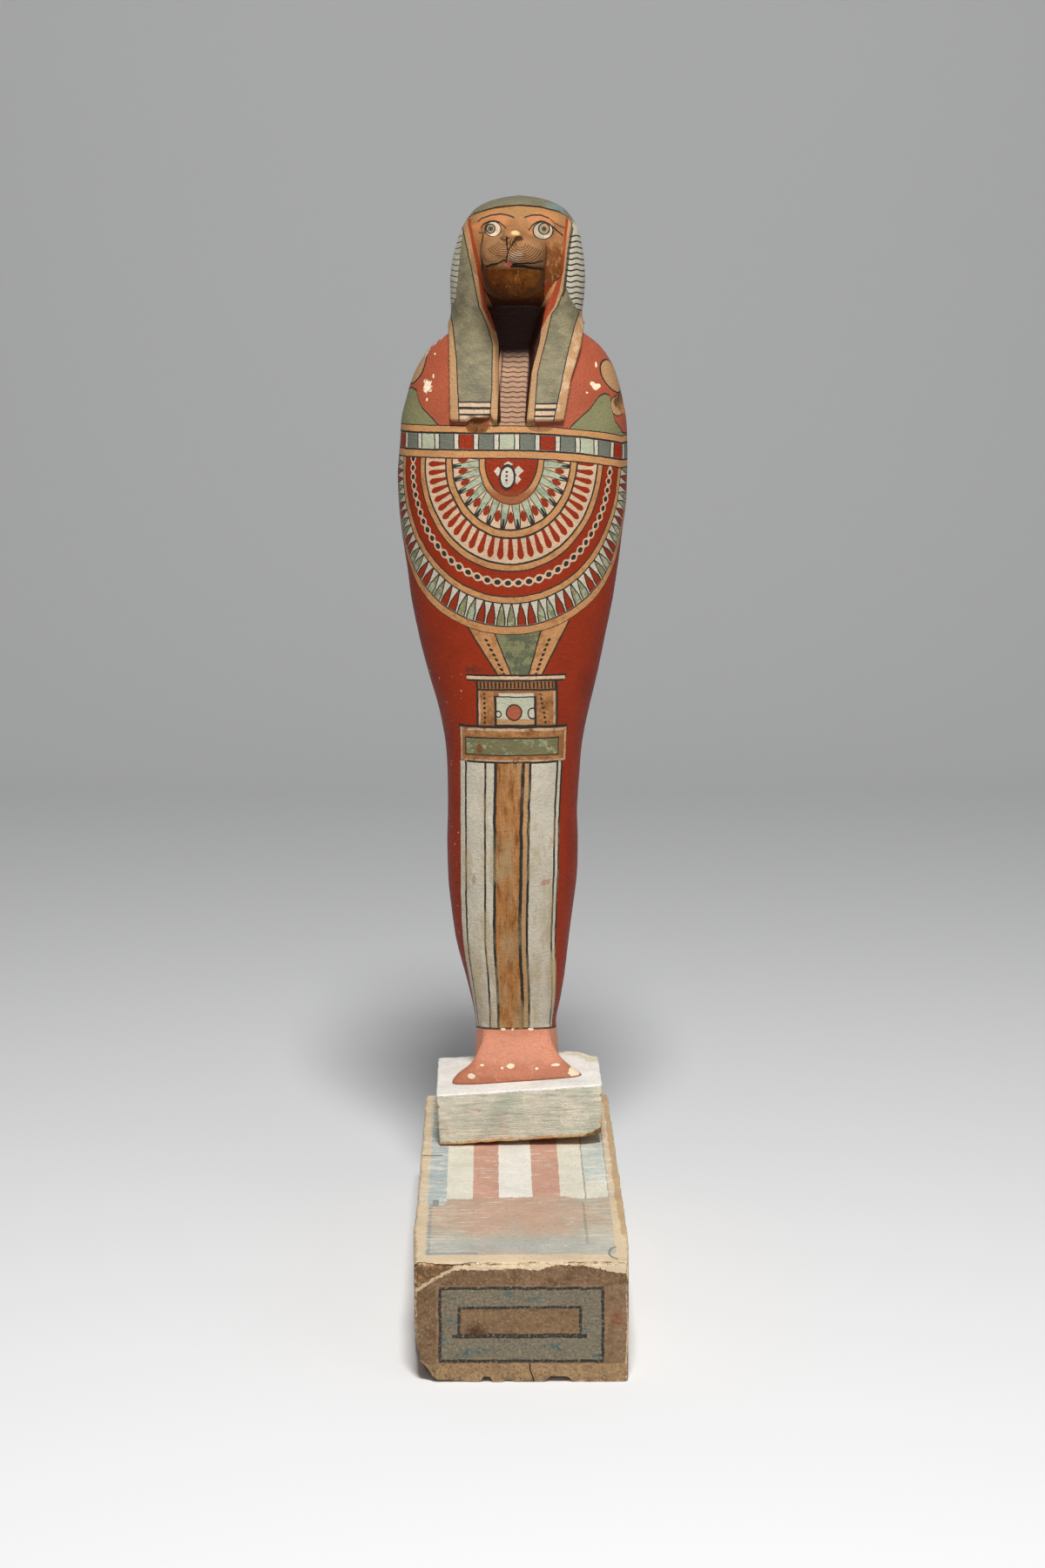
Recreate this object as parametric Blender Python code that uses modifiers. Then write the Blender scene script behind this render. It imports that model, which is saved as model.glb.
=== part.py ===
"""Baboon-headed mummiform figure of painted wood on a small block, set on a long base.

Metres, +Z up. The front faces -Y and the origin is the middle of the base's underside.
"""

import math

import bmesh
import bpy
import numpy as np
from mathutils import Matrix, Vector

# The long base.
BASE_WIDTH = 0.108
BASE_LENGTH = 0.309
BASE_HEIGHT = 0.063
BASE_EDGE_ROUNDING = 0.0015

# The small block under the feet: its left lower edge rests on the base and it leans from there.
BLOCK_WIDTH = 0.0925
BLOCK_DEPTH = 0.081
BLOCK_HEIGHT = 0.030
BLOCK_ROLL = math.radians(3.6)
BLOCK_EDGE_ROUNDING = 0.0012
BLOCK_SHIFT_RIGHT = 0.0018
BLOCK_BACK_MARGIN = 0.0265

# Pieces that touch keep this gap. The wedges that cut a worn corner stand this far outside it.
GAP = 0.0003
CHIP_OVERSHOOT = 0.003

# The figure: its proportions below are thousandths of its own height.
FIGURE_HEIGHT = 0.500
FIGURE_BEHIND_BLOCK_MIDDLE = 0.0105
THOUSANDTH = FIGURE_HEIGHT / 1000
HEAD_TURN = math.radians(-2.8)
WIG_RELIEF = 8

RING_POINTS = 44
BODY_STEP = 17
HEAD_STEP = 11
TOES_STEP = 6

# Body sections from below the sole to inside the wig:
# height, left side, right side, front, back.
BODY = [
    (-20, -50, 50, -46, 57),
    (10, -49, 49, -45, 56),
    (30, -48, 48, -41, 53),
    (55, -48, 46, -36, 49),
    (77, -52, 50, -38, 49),
    (107, -59, 55, -42, 50),
    (147, -69, 60, -46, 54),
    (187, -75, 65, -50, 58),
    (227, -79, 70, -54, 61),
    (267, -80, 71, -58, 64),
    (307, -79, 70, -60, 66),
    (347, -79, 72, -61, 67),
    (387, -82, 76, -62, 68),
    (427, -90, 84, -64, 69),
    (467, -101, 93, -66, 70),
    (507, -111, 101, -69, 72),
    (547, -119, 109, -72, 74),
    (587, -124, 115, -75, 76),
    (627, -130, 120, -78, 77),
    (657, -133, 124, -79, 78),
    (687, -134, 125, -80, 78),
    (727, -131, 125, -78, 78),
    (757, -129, 123, -75, 77),
    (777, -124, 119, -71, 76),
    (797, -118, 114, -66, 74),
    (817, -108, 106, -60, 71),
    (837, -92, 91, -52, 64),
    (851, -72, 72, -44, 54),
]
BODY_SQUARENESS = 2.35

# The toes spread forward and sideways from the ankle, widest at their front.
TOES = [
    (-12, -67, 69, -68, -4),
    (0, -65, 67, -67, -4),
    (6, -60, 63, -66, -4),
    (13, -51, 55, -61, -5),
    (22, -44, 46, -53, -8),
    (33, -39, 39, -43, -10),
    (42, -33, 33, -34, -12),
]
TOES_SQUARENESS = 4.5
TOES_SPREAD = 0.22

# The wig from the shoulders up; below them it lies on the chest at its relief.
WIG = [
    (817, -115, 113, -69, 81),
    (837, -98, 97, -67, 83),
    (851, -82, 82, -67, 84),
    (864, -75, 75, -67, 85),
    (889, -74, 76, -68, 85),
    (909, -74, 77, -69, 85),
    (927, -72, 76, -69, 83),
    (947, -67, 73, -67, 79),
    (964, -61, 69, -62, 72),
    (977, -53, 61, -55, 63),
    (985, -46, 54, -48, 55),
    (992, -34, 42, -37, 43),
    (997, -18, 26, -21, 25),
    (1000, 3, 5, -1, 1),
]

# The face and neck, set a little back inside the wig.
FACE = [
    (815, -44, 44, -46, 40),
    (850, -52, 52, -48, 40),
    (872, -60, 60, -52, 40),
    (895, -65, 67, -61, 40),
    (930, -67, 71, -65, 40),
    (955, -62, 68, -62, 40),
    (970, -55, 63, -56, 40),
    (982, -45, 53, -47, 36),
    (988, -36, 43, -40, 30),
]

# Outlines seen from the front (across, height): the opening for face and throat between the lappets,
# and what is cut away round the lappets in front and round the flap at the back.
FACE_OPENING = [
    (10, 700),
    (10, 754),
    (18, 834),
    (34, 879),
    (46, 928),
    (57, 970),
    (50, 979),
    (28, 986),
    (3, 988),
    (-25, 985),
    (-48, 978),
    (-54, 970),
    (-44, 928),
    (-34, 879),
    (-24, 834),
    (-20, 754),
    (-20, 700),
]
ROUND_LAPPETS = [
    (-170, 680),
    (170, 680),
    (170, 870),
    (79, 870),
    (76, 834),
    (64, 800),
    (53, 754),
    (-76, 754),
    (-77, 834),
    (-79, 870),
    (-170, 870),
]
ROUND_FLAP = [
    (-170, 680),
    (170, 680),
    (170, 870),
    (79, 870),
    (76, 834),
    (66, 716),
    (-66, 716),
    (-77, 834),
    (-79, 870),
    (-170, 870),
]

# The muzzle, cut along its length: distance in front of the axis, half width, underside, top.
UPPER_MUZZLE = [
    (40, 35, 917, 958),
    (66, 36, 918, 958),
    (90, 35, 919, 956),
    (110, 33, 920, 953),
    (122, 29, 922, 951),
    (129, 21, 926, 947),
    (132, 10, 932, 941),
]
NOSE_BRIDGE = [
    (40, 15, 930, 966),
    (70, 14, 930, 965),
    (95, 12, 932, 961),
    (114, 11, 936, 959),
    (125, 10, 940, 960),
    (131, 8, 943, 958),
    (134, 4, 947, 954),
]
LOWER_JAW = [
    (30, 30, 885, 930),
    (66, 31, 885, 930),
    (90, 31, 885, 928),
    (104, 30, 886, 926),
    (114, 27, 889, 925),
    (120, 21, 894, 923),
    (123, 12, 901, 917),
]
MUZZLE_SQUARENESS = 2.6

# Rounded swellings of the face: across, in front of the axis, height, then the three radii.
SWELLINGS = {
    "left_cheek": (-29, 50, 925, 19, 17, 27),
    "right_cheek": (34, 49, 924, 21, 17, 29),
    "left_whisker_pad": (-14, 118, 934, 15, 13, 12),
    "right_whisker_pad": (14, 118, 934, 15, 13, 12),
    "left_eye": (-24, 53, 963, 12, 7, 11),
    "right_eye": (33, 52, 962, 12, 7, 11),
}


def clear_scene():
    for thing in list(bpy.data.objects):
        bpy.data.objects.remove(thing, do_unlink=True)


def new_collection(name, helpers=False):
    collection = bpy.data.collections.new(name)
    collection.hide_render = helpers
    bpy.context.scene.collection.children.link(collection)
    return collection


def material(name, color, roughness):
    paint = bpy.data.materials.new(name)
    paint.use_nodes = True
    shader = paint.node_tree.nodes["Principled BSDF"]
    shader.inputs["Base Color"].default_value = (*color, 1.0)
    shader.inputs["Roughness"].default_value = roughness
    return paint


def add_object(name, shape, collection, paint=None):
    """Makes an object of a bmesh; one without a paint is a helper for a Boolean."""
    bmesh.ops.recalc_face_normals(shape, faces=shape.faces)
    mesh = bpy.data.meshes.new(name)
    shape.to_mesh(mesh)
    shape.free()
    thing = bpy.data.objects.new(name, mesh)
    collection.objects.link(thing)
    if paint:
        mesh.materials.append(paint)
    else:
        thing.hide_render = True
        thing.display_type = "WIRE"
    return thing


def boolean(thing, operation, other):
    step = thing.modifiers.new(f"{operation.lower()} {other.name}", "BOOLEAN")
    step.operation = operation
    step.object = other
    step.solver = "EXACT"


def refined(stations, most_step):
    """Puts more stations between the given ones, every value along a smooth curve."""
    table = np.array(stations, dtype=float)
    slopes = np.gradient(table, table[:, 0], axis=0)
    rows = []
    for first, last, start, end in zip(table, table[1:], slopes, slopes[1:]):
        length = last[0] - first[0]
        count = max(1, round(length / most_step))
        for t in np.arange(count) / count:
            rows.append(
                first * (2 * t**3 - 3 * t**2 + 1)
                + last * (3 * t**2 - 2 * t**3)
                + start * length * (t**3 - 2 * t**2 + t)
                + end * length * (t**3 - t**2)
            )
    rows.append(table[-1])
    return rows


def rounded_section(half_width, half_depth, squareness):
    """Points round a section between an ellipse (squareness 2) and a rectangle, about its middle."""
    turns = np.arange(RING_POINTS) * 2 * math.pi / RING_POINTS
    power = 2 / squareness
    across = half_width * np.sign(np.cos(turns)) * np.abs(np.cos(turns)) ** power
    along = half_depth * np.sign(np.sin(turns)) * np.abs(np.sin(turns)) ** power
    return across, along


def loft(rings):
    """Skins a row of rings of points and closes both ends."""
    shape = bmesh.new()
    rows = [[shape.verts.new(point) for point in ring] for ring in rings]
    for low, high in zip(rows, rows[1:]):
        for i in range(len(low)):
            j = (i + 1) % len(low)
            shape.faces.new((low[i], low[j], high[j], high[i]))
    shape.faces.new(rows[0])
    shape.faces.new(rows[-1])
    return shape


def upright_rings(stations, squareness, spread=0.0):
    """Level rings; a spread makes them wider towards the front."""
    rings = []
    for height, left, right, front, back in stations:
        half_depth = (back - front) / 2
        across, along = rounded_section((right - left) / 2, half_depth, squareness)
        across *= 1 - spread * along / half_depth
        middle = Vector(((left + right) / 2, (front + back) / 2, height))
        rings.append(
            [(middle + Vector((x, y, 0))) * THOUSANDTH for x, y in zip(across, along)]
        )
    return rings


def muzzle_rings(stations):
    """Rings that stand across the muzzle, turned with the head."""
    turn = Matrix.Rotation(HEAD_TURN, 3, "Z")
    rings = []
    for forward, half_width, low, high in stations:
        across, upward = rounded_section(half_width, (high - low) / 2, MUZZLE_SQUARENESS)
        rings.append(
            [
                turn @ Vector((x, -forward, (low + high) / 2 + z)) * THOUSANDTH
                for x, z in zip(across, upward)
            ]
        )
    return rings


def prism(outline, front, back):
    """Pushes an outline seen from the front straight back, between two distances from the axis."""
    rings = [
        [Vector((x, y, z)) * THOUSANDTH for x, z in outline] for y in (front, back)
    ]
    return loft(rings)


def box(width, depth, height, middle):
    shape = bmesh.new()
    size = Matrix.Diagonal((width, depth, height, 1))
    bmesh.ops.create_cube(shape, size=1, matrix=Matrix.Translation(middle) @ size)
    return shape


def chip(corner, reaches):
    """A wedge over a corner of a box, whose cut runs this far along each of the three edges."""
    shape = bmesh.new()
    outside = CHIP_OVERSHOOT
    growth = 1 + outside * sum(1 / abs(reach) for reach in reaches)
    tip = Vector(corner) - Vector([math.copysign(outside, reach) for reach in reaches])
    points = [tip]
    for axis, reach in enumerate(reaches):
        point = tip.copy()
        point[axis] += reach * growth
        points.append(point)
    bmesh.ops.convex_hull(shape, input=[shape.verts.new(point) for point in points])
    return shape


def swelling(across, forward, height, *radii):
    """An egg shape on the head, turned with it."""
    shape = bmesh.new()
    place = Matrix.Rotation(HEAD_TURN, 4, "Z") @ Matrix.Translation(
        Vector((across, -forward, height)) * THOUSANDTH
    )
    size = Matrix.Diagonal((*(Vector(radii) * THOUSANDTH), 1))
    bmesh.ops.create_uvsphere(shape, u_segments=16, v_segments=10, radius=1, matrix=place @ size)
    return shape


def round_edges(thing, width):
    bevel = thing.modifiers.new("worn edges", "BEVEL")
    bevel.width = width
    bevel.segments = 2
    bevel.limit_method = "ANGLE"


def shade(thing, degrees):
    thing.data.shade_smooth()
    thing.data.set_sharp_from_angle(angle=math.radians(degrees))


def build_base(collection, helpers):
    """The long base, with its front lower left corner broken away."""
    base = add_object(
        "base",
        box(BASE_WIDTH, BASE_LENGTH, BASE_HEIGHT, Vector((0, 0, BASE_HEIGHT / 2))),
        collection,
        material("gessoed_base", (0.42, 0.32, 0.22), 0.85),
    )
    round_edges(base, BASE_EDGE_ROUNDING)
    corner = (-BASE_WIDTH / 2, -BASE_LENGTH / 2, 0)
    lost_corner = chip(corner, (BASE_WIDTH * 0.1, BASE_LENGTH * 0.06, BASE_HEIGHT * 0.3))
    boolean(base, "DIFFERENCE", add_object("lost_base_corner", lost_corner, helpers))
    return base


def block_frame():
    """Where the block's left lower edge rests, and how the block leans from it."""
    middle_y = BASE_LENGTH / 2 - BLOCK_BACK_MARGIN - BLOCK_DEPTH / 2
    edge = Vector((BLOCK_SHIFT_RIGHT - BLOCK_WIDTH / 2, middle_y, BASE_HEIGHT + GAP))
    return Matrix.Translation(edge) @ Matrix.Rotation(-BLOCK_ROLL, 4, "Y")


def build_block(collection, helpers):
    """The small block, in its own frame: the origin is the middle of its left lower edge."""
    block = add_object(
        "foot_block",
        box(
            BLOCK_WIDTH,
            BLOCK_DEPTH,
            BLOCK_HEIGHT,
            Vector((BLOCK_WIDTH / 2, 0, BLOCK_HEIGHT / 2)),
        ),
        collection,
        material("gessoed_block", (0.66, 0.64, 0.58), 0.8),
    )
    block.matrix_world = block_frame()
    round_edges(block, BLOCK_EDGE_ROUNDING)
    losses = {
        "lost_back_corner": (
            (BLOCK_WIDTH, BLOCK_DEPTH / 2, BLOCK_HEIGHT),
            (-BLOCK_WIDTH * 0.25, -BLOCK_DEPTH * 0.4, -BLOCK_HEIGHT * 0.2),
        ),
        "lost_front_corner": (
            (BLOCK_WIDTH, -BLOCK_DEPTH / 2, 0),
            (-BLOCK_WIDTH * 0.1, BLOCK_DEPTH * 0.06, BLOCK_HEIGHT * 0.15),
        ),
    }
    for name, (corner, reaches) in losses.items():
        cutter = add_object(name, chip(corner, reaches), helpers)
        cutter.matrix_world = block_frame()
        boolean(block, "DIFFERENCE", cutter)
    return block


def figure_frame():
    """The point of the block's top under the figure's axis, the gap above it; the figure is upright."""
    edge = block_frame().translation
    rise = -edge.x * math.tan(BLOCK_ROLL)
    top = (BLOCK_HEIGHT + GAP) / math.cos(BLOCK_ROLL)
    y = edge.y + FIGURE_BEHIND_BLOCK_MIDDLE
    return Matrix.Translation(Vector((0, y, edge.z + rise + top)))


def build_figure(collection, helpers):
    """The figure, carved in one piece: body and feet, wig with its lappets, face and muzzle."""
    frame = figure_frame()

    def helper(name, shape):
        thing = add_object(name, shape, helpers)
        thing.matrix_world = frame
        return thing

    figure = add_object(
        "figure",
        loft(upright_rings(refined(BODY, BODY_STEP), BODY_SQUARENESS)),
        collection,
        material("painted_figure", (0.29, 0.07, 0.035), 0.7),
    )
    figure.matrix_world = frame
    toes = upright_rings(refined(TOES, TOES_STEP), TOES_SQUARENESS, TOES_SPREAD)
    boolean(figure, "UNION", helper("toes", loft(toes)))

    ground = box(0.2, 0.2, 0.05, Vector((0, 0, -0.025)))
    bmesh.ops.transform(ground, matrix=Matrix.Rotation(-BLOCK_ROLL, 4, "Y"), verts=ground.verts)
    boolean(figure, "DIFFERENCE", helper("ground", ground))

    on_chest = [
        (height, left - WIG_RELIEF, right + WIG_RELIEF, front - WIG_RELIEF, back + WIG_RELIEF)
        for height, left, right, front, back in BODY
        if ROUND_FLAP[0][1] < height < WIG[0][0]
    ]
    wig = refined(on_chest + WIG, HEAD_STEP)
    head = helper("head", loft(upright_rings(wig, BODY_SQUARENESS)))
    cuts = {
        "face_opening": prism(FACE_OPENING, -140, -20),
        "round_lappets": prism(ROUND_LAPPETS, -140, 1),
        "round_flap": prism(ROUND_FLAP, -1, 140),
    }
    for name, cut in cuts.items():
        boolean(head, "DIFFERENCE", helper(name, cut))
    face = loft(upright_rings(refined(FACE, HEAD_STEP), BODY_SQUARENESS))
    boolean(head, "UNION", helper("face", face))
    boolean(head, "UNION", helper("lower_jaw", loft(muzzle_rings(LOWER_JAW))))
    boolean(head, "UNION", helper("upper_muzzle", loft(muzzle_rings(UPPER_MUZZLE))))
    boolean(head, "UNION", helper("nose_bridge", loft(muzzle_rings(NOSE_BRIDGE))))
    for name, egg in SWELLINGS.items():
        boolean(head, "UNION", helper(name, swelling(*egg)))

    boolean(figure, "UNION", head)
    shade(figure, 35)
    return figure


clear_scene()
baboon_figure = new_collection("baboon_headed_figure")
cutters = new_collection("helpers", helpers=True)
shade(build_base(baboon_figure, cutters), 30)
shade(build_block(baboon_figure, cutters), 30)
build_figure(baboon_figure, cutters)
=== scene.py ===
"""Baboon-headed mummiform figure of painted wood, standing on a small block on a long base."""
import math

import bpy
import numpy as np
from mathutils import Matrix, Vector


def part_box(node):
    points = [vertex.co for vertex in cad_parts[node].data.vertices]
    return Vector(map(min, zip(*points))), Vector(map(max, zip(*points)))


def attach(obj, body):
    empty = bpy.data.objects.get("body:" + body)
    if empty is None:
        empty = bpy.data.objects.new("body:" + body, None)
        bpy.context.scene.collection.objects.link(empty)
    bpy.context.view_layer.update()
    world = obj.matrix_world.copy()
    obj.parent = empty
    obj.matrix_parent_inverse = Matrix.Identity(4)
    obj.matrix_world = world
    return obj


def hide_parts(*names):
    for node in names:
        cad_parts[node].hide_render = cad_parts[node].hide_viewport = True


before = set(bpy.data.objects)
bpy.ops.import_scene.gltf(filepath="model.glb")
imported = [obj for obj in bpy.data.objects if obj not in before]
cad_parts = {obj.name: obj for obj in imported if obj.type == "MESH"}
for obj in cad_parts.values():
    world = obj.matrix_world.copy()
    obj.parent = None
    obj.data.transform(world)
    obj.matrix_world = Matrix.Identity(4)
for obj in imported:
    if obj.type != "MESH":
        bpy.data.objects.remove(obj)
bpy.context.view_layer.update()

# The base: a long block of wood under a skin of gesso, painted on its top and on its front end.
# The wood shows where the gesso has broken away, most of all along the front edge and its corners.
# It stands on the floor by its own weight.
BASE_SIZE = np.array([0.108, 0.309, 0.063])
BASE_ROUNDING = 0.0016
BASE_WEAR = 0.0016
BASE_LOST_CORNER = np.array([0.0125, 0.0450, 0.0160])
BASE_WORN_EDGE = np.array([0.0045, 0.100, 0.030])


def grain(points, size, seed, layers=3):
    """Smooth random value, about -1 to 1, at every point.

    Random numbers stand on a lattice this far apart, blended between its corners by a smooth cubic;
    each further layer is half as large and half as strong.
    """
    total = np.zeros(len(points))
    for layer in range(layers):
        table = np.random.default_rng(seed + layer).uniform(-1, 1, (32, 32, 32))
        place = points / size * 2**layer + 0.37 * layer
        low = np.floor(place).astype(int)
        part = place - low
        part = part * part * (3 - 2 * part)
        for corner in np.ndindex(2, 2, 2):
            weight = np.prod(np.where(corner, part, 1 - part), axis=1)
            i, j, k = ((low + corner) % 32).T
            total += weight * table[i, j, k] / 2**layer
    return total


def ease(low, high, value):
    """Rises smoothly from 0 at low to 1 at high."""
    t = np.clip((value - low) / (high - low), 0, 1)
    return t * t * (3 - 2 * t)


def close_skin(name, rows, **marks):
    """Makes a closed piece of a grid of points whose columns run round it, from below to above.

    A point in the middle of the first row and one in the middle of the last close the two ends.
    A mark is a number or three at every point of the grid, kept for the paint.
    """
    def with_ends(values):
        values = values.reshape(count, around, -1)
        return np.concatenate([values.reshape(count * around, -1), values[:1].mean(1), values[-1:].mean(1)])
    count, around = rows.shape[:2]
    index = np.arange(count * around).reshape(count, around)
    turned = np.roll(index, -1, axis=1)
    quads = np.stack([index[:-1], turned[:-1], turned[1:], index[1:]], -1).reshape(-1, 4)
    foot = np.stack([turned[0], index[0], np.full(around, count * around)], -1)
    top = np.stack([index[-1], turned[-1], np.full(around, count * around + 1)], -1)
    corners = np.concatenate([quads.ravel(), foot.ravel(), top.ravel()])
    sizes = np.concatenate([np.full(len(quads), 4), np.full(2 * around, 3)])
    mesh = bpy.data.meshes.new(name)
    mesh.vertices.add(count * around + 2)
    mesh.vertices.foreach_set("co", with_ends(rows).ravel())
    mesh.loops.add(len(corners))
    mesh.loops.foreach_set("vertex_index", corners)
    mesh.polygons.add(len(sizes))
    mesh.polygons.foreach_set("loop_start", np.cumsum(sizes) - sizes)
    mesh.polygons.foreach_set("loop_total", sizes)
    mesh.update(calc_edges=True)
    mesh.validate()
    mesh.shade_smooth()
    for mark, values in marks.items():
        flat = with_ends(values)
        kind, field = ("FLOAT_VECTOR", "vector") if flat.shape[1] == 3 else ("FLOAT", "value")
        mesh.attributes.new(mark, kind, "POINT").data.foreach_set(field, flat.ravel())
    piece = bpy.data.objects.new(name, mesh)
    bpy.context.scene.collection.objects.link(piece)
    return piece


def block_grid(size, front, side, upright, flat):
    """Points over a box whose middle is the origin, closer together towards its edges.

    The columns run round the plan from the front left corner; the rows run from the middle of the
    underside, up the sides, to the middle of the top.
    """
    def towards_ends(count):
        return np.sin(np.linspace(-1, 1, count, endpoint=False) * math.pi / 2)
    across, along = towards_ends(front), towards_ends(side)
    plan = np.concatenate([
        np.stack([across, -np.ones(front)], -1), np.stack([np.ones(side), along], -1),
        np.stack([-across, np.ones(front)], -1), np.stack([-np.ones(side), -along], -1)])
    spread = np.sin(np.linspace(0.02, 1, flat, endpoint=False) * math.pi / 2)
    height = np.sin(np.linspace(-1, 1, upright) * math.pi / 2)
    share = np.concatenate([spread, np.ones(upright), spread[::-1]])
    level = np.concatenate([-np.ones(flat), height, np.ones(flat)])
    grid = np.empty((len(level), len(plan), 3))
    grid[..., :2] = plan * share[:, None, None]
    grid[..., 2] = level[:, None]
    return grid * size / 2


def worn_block(grid, size, rounding, wear, seed):
    """Rounds a box's edges and wears them.

    Every point is set on a ball of the rounding's radius whose middle lies inside the box. The wear
    then takes it inwards, most at the edges and by more in some places than in others. Returns the
    points, the directions that they face, and how near each is to an edge, from 0 to 1.
    """
    points = grid.reshape(-1, 3)
    radius = rounding * (1 + 0.5 * grain(points, 0.011, seed))[:, None]
    inner = np.clip(points, radius - size / 2, size / 2 - radius)
    facing = points - inner
    facing /= np.linalg.norm(facing, axis=1, keepdims=True)
    points = inner + radius * facing
    to_faces = np.sort(size / 2 - np.abs(points), axis=1)
    edge = np.exp(-np.maximum(to_faces[:, 1], 0) / 0.0022)
    bite = ease(-0.15, 1.1, grain(points, 0.006, seed + 10)) * edge * wear
    swell = 0.00016 * grain(points, 0.03, seed + 20) + 0.00005 * grain(points, 0.004, seed + 30)
    points = points + facing * (swell - bite)[:, None]
    return points, facing, edge


def cut_corner(points, corner, reaches, rough, seed):
    """Breaks a corner off: what stands outside the plane through three points is set on that plane."""
    outward = -1 / reaches
    outward /= np.linalg.norm(outward)
    outside = (points - corner) @ outward - reaches[0] * outward[0]
    outside += rough * grain(points, 0.006, seed)
    return points - np.maximum(outside, 0)[:, None] * outward, ease(-0.0006, 0.0006, outside)


def pigment(chart):
    """A colour as a painter's chart gives it, 0 to 255, as the linear values that a shader takes."""
    shares = np.array(chart) / 255
    return (*np.where(shares < 0.04045, shares / 12.92, ((shares + 0.055) / 1.055)**2.4), 1)


def by_node(operation):
    """A method that works through one shader node, whose first input is the measure itself."""
    return lambda self, *others: self.finish.math(operation, self, *others)


class Measure:
    """A number that varies over a surface; sums and steps of measures become shader nodes.

    Near is 1 within a reach of a value and 0 elsewhere; part is what a number has after its point.
    """
    __add__ = __radd__ = by_node("ADD")
    __mul__ = __rmul__ = by_node("MULTIPLY")
    __sub__ = by_node("SUBTRACT")
    __truediv__ = by_node("DIVIDE")
    __pow__ = by_node("POWER")
    __lt__ = by_node("LESS_THAN")
    __gt__ = by_node("GREATER_THAN")
    __abs__ = by_node("ABSOLUTE")
    near = by_node("COMPARE")
    least = by_node("MINIMUM")
    most = by_node("MAXIMUM")
    part = by_node("FRACT")
    wave = by_node("SINE")

    def __init__(self, finish, socket):
        self.finish = finish
        self.socket = socket

    def __rsub__(self, other):
        return self.finish.math("SUBTRACT", other, self)

    def rise(self, low, high):
        """Goes from 0 at low to 1 at high, and stays there."""
        node = self.finish.add("ShaderNodeMapRange", {"Value": self, "From Min": low, "From Max": high})
        return Measure(self.finish, node.outputs["Result"])


def away(first, second):
    """Distance from where both measures are 0."""
    return first.finish.math("SQRT", first**2 + second**2)


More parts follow.
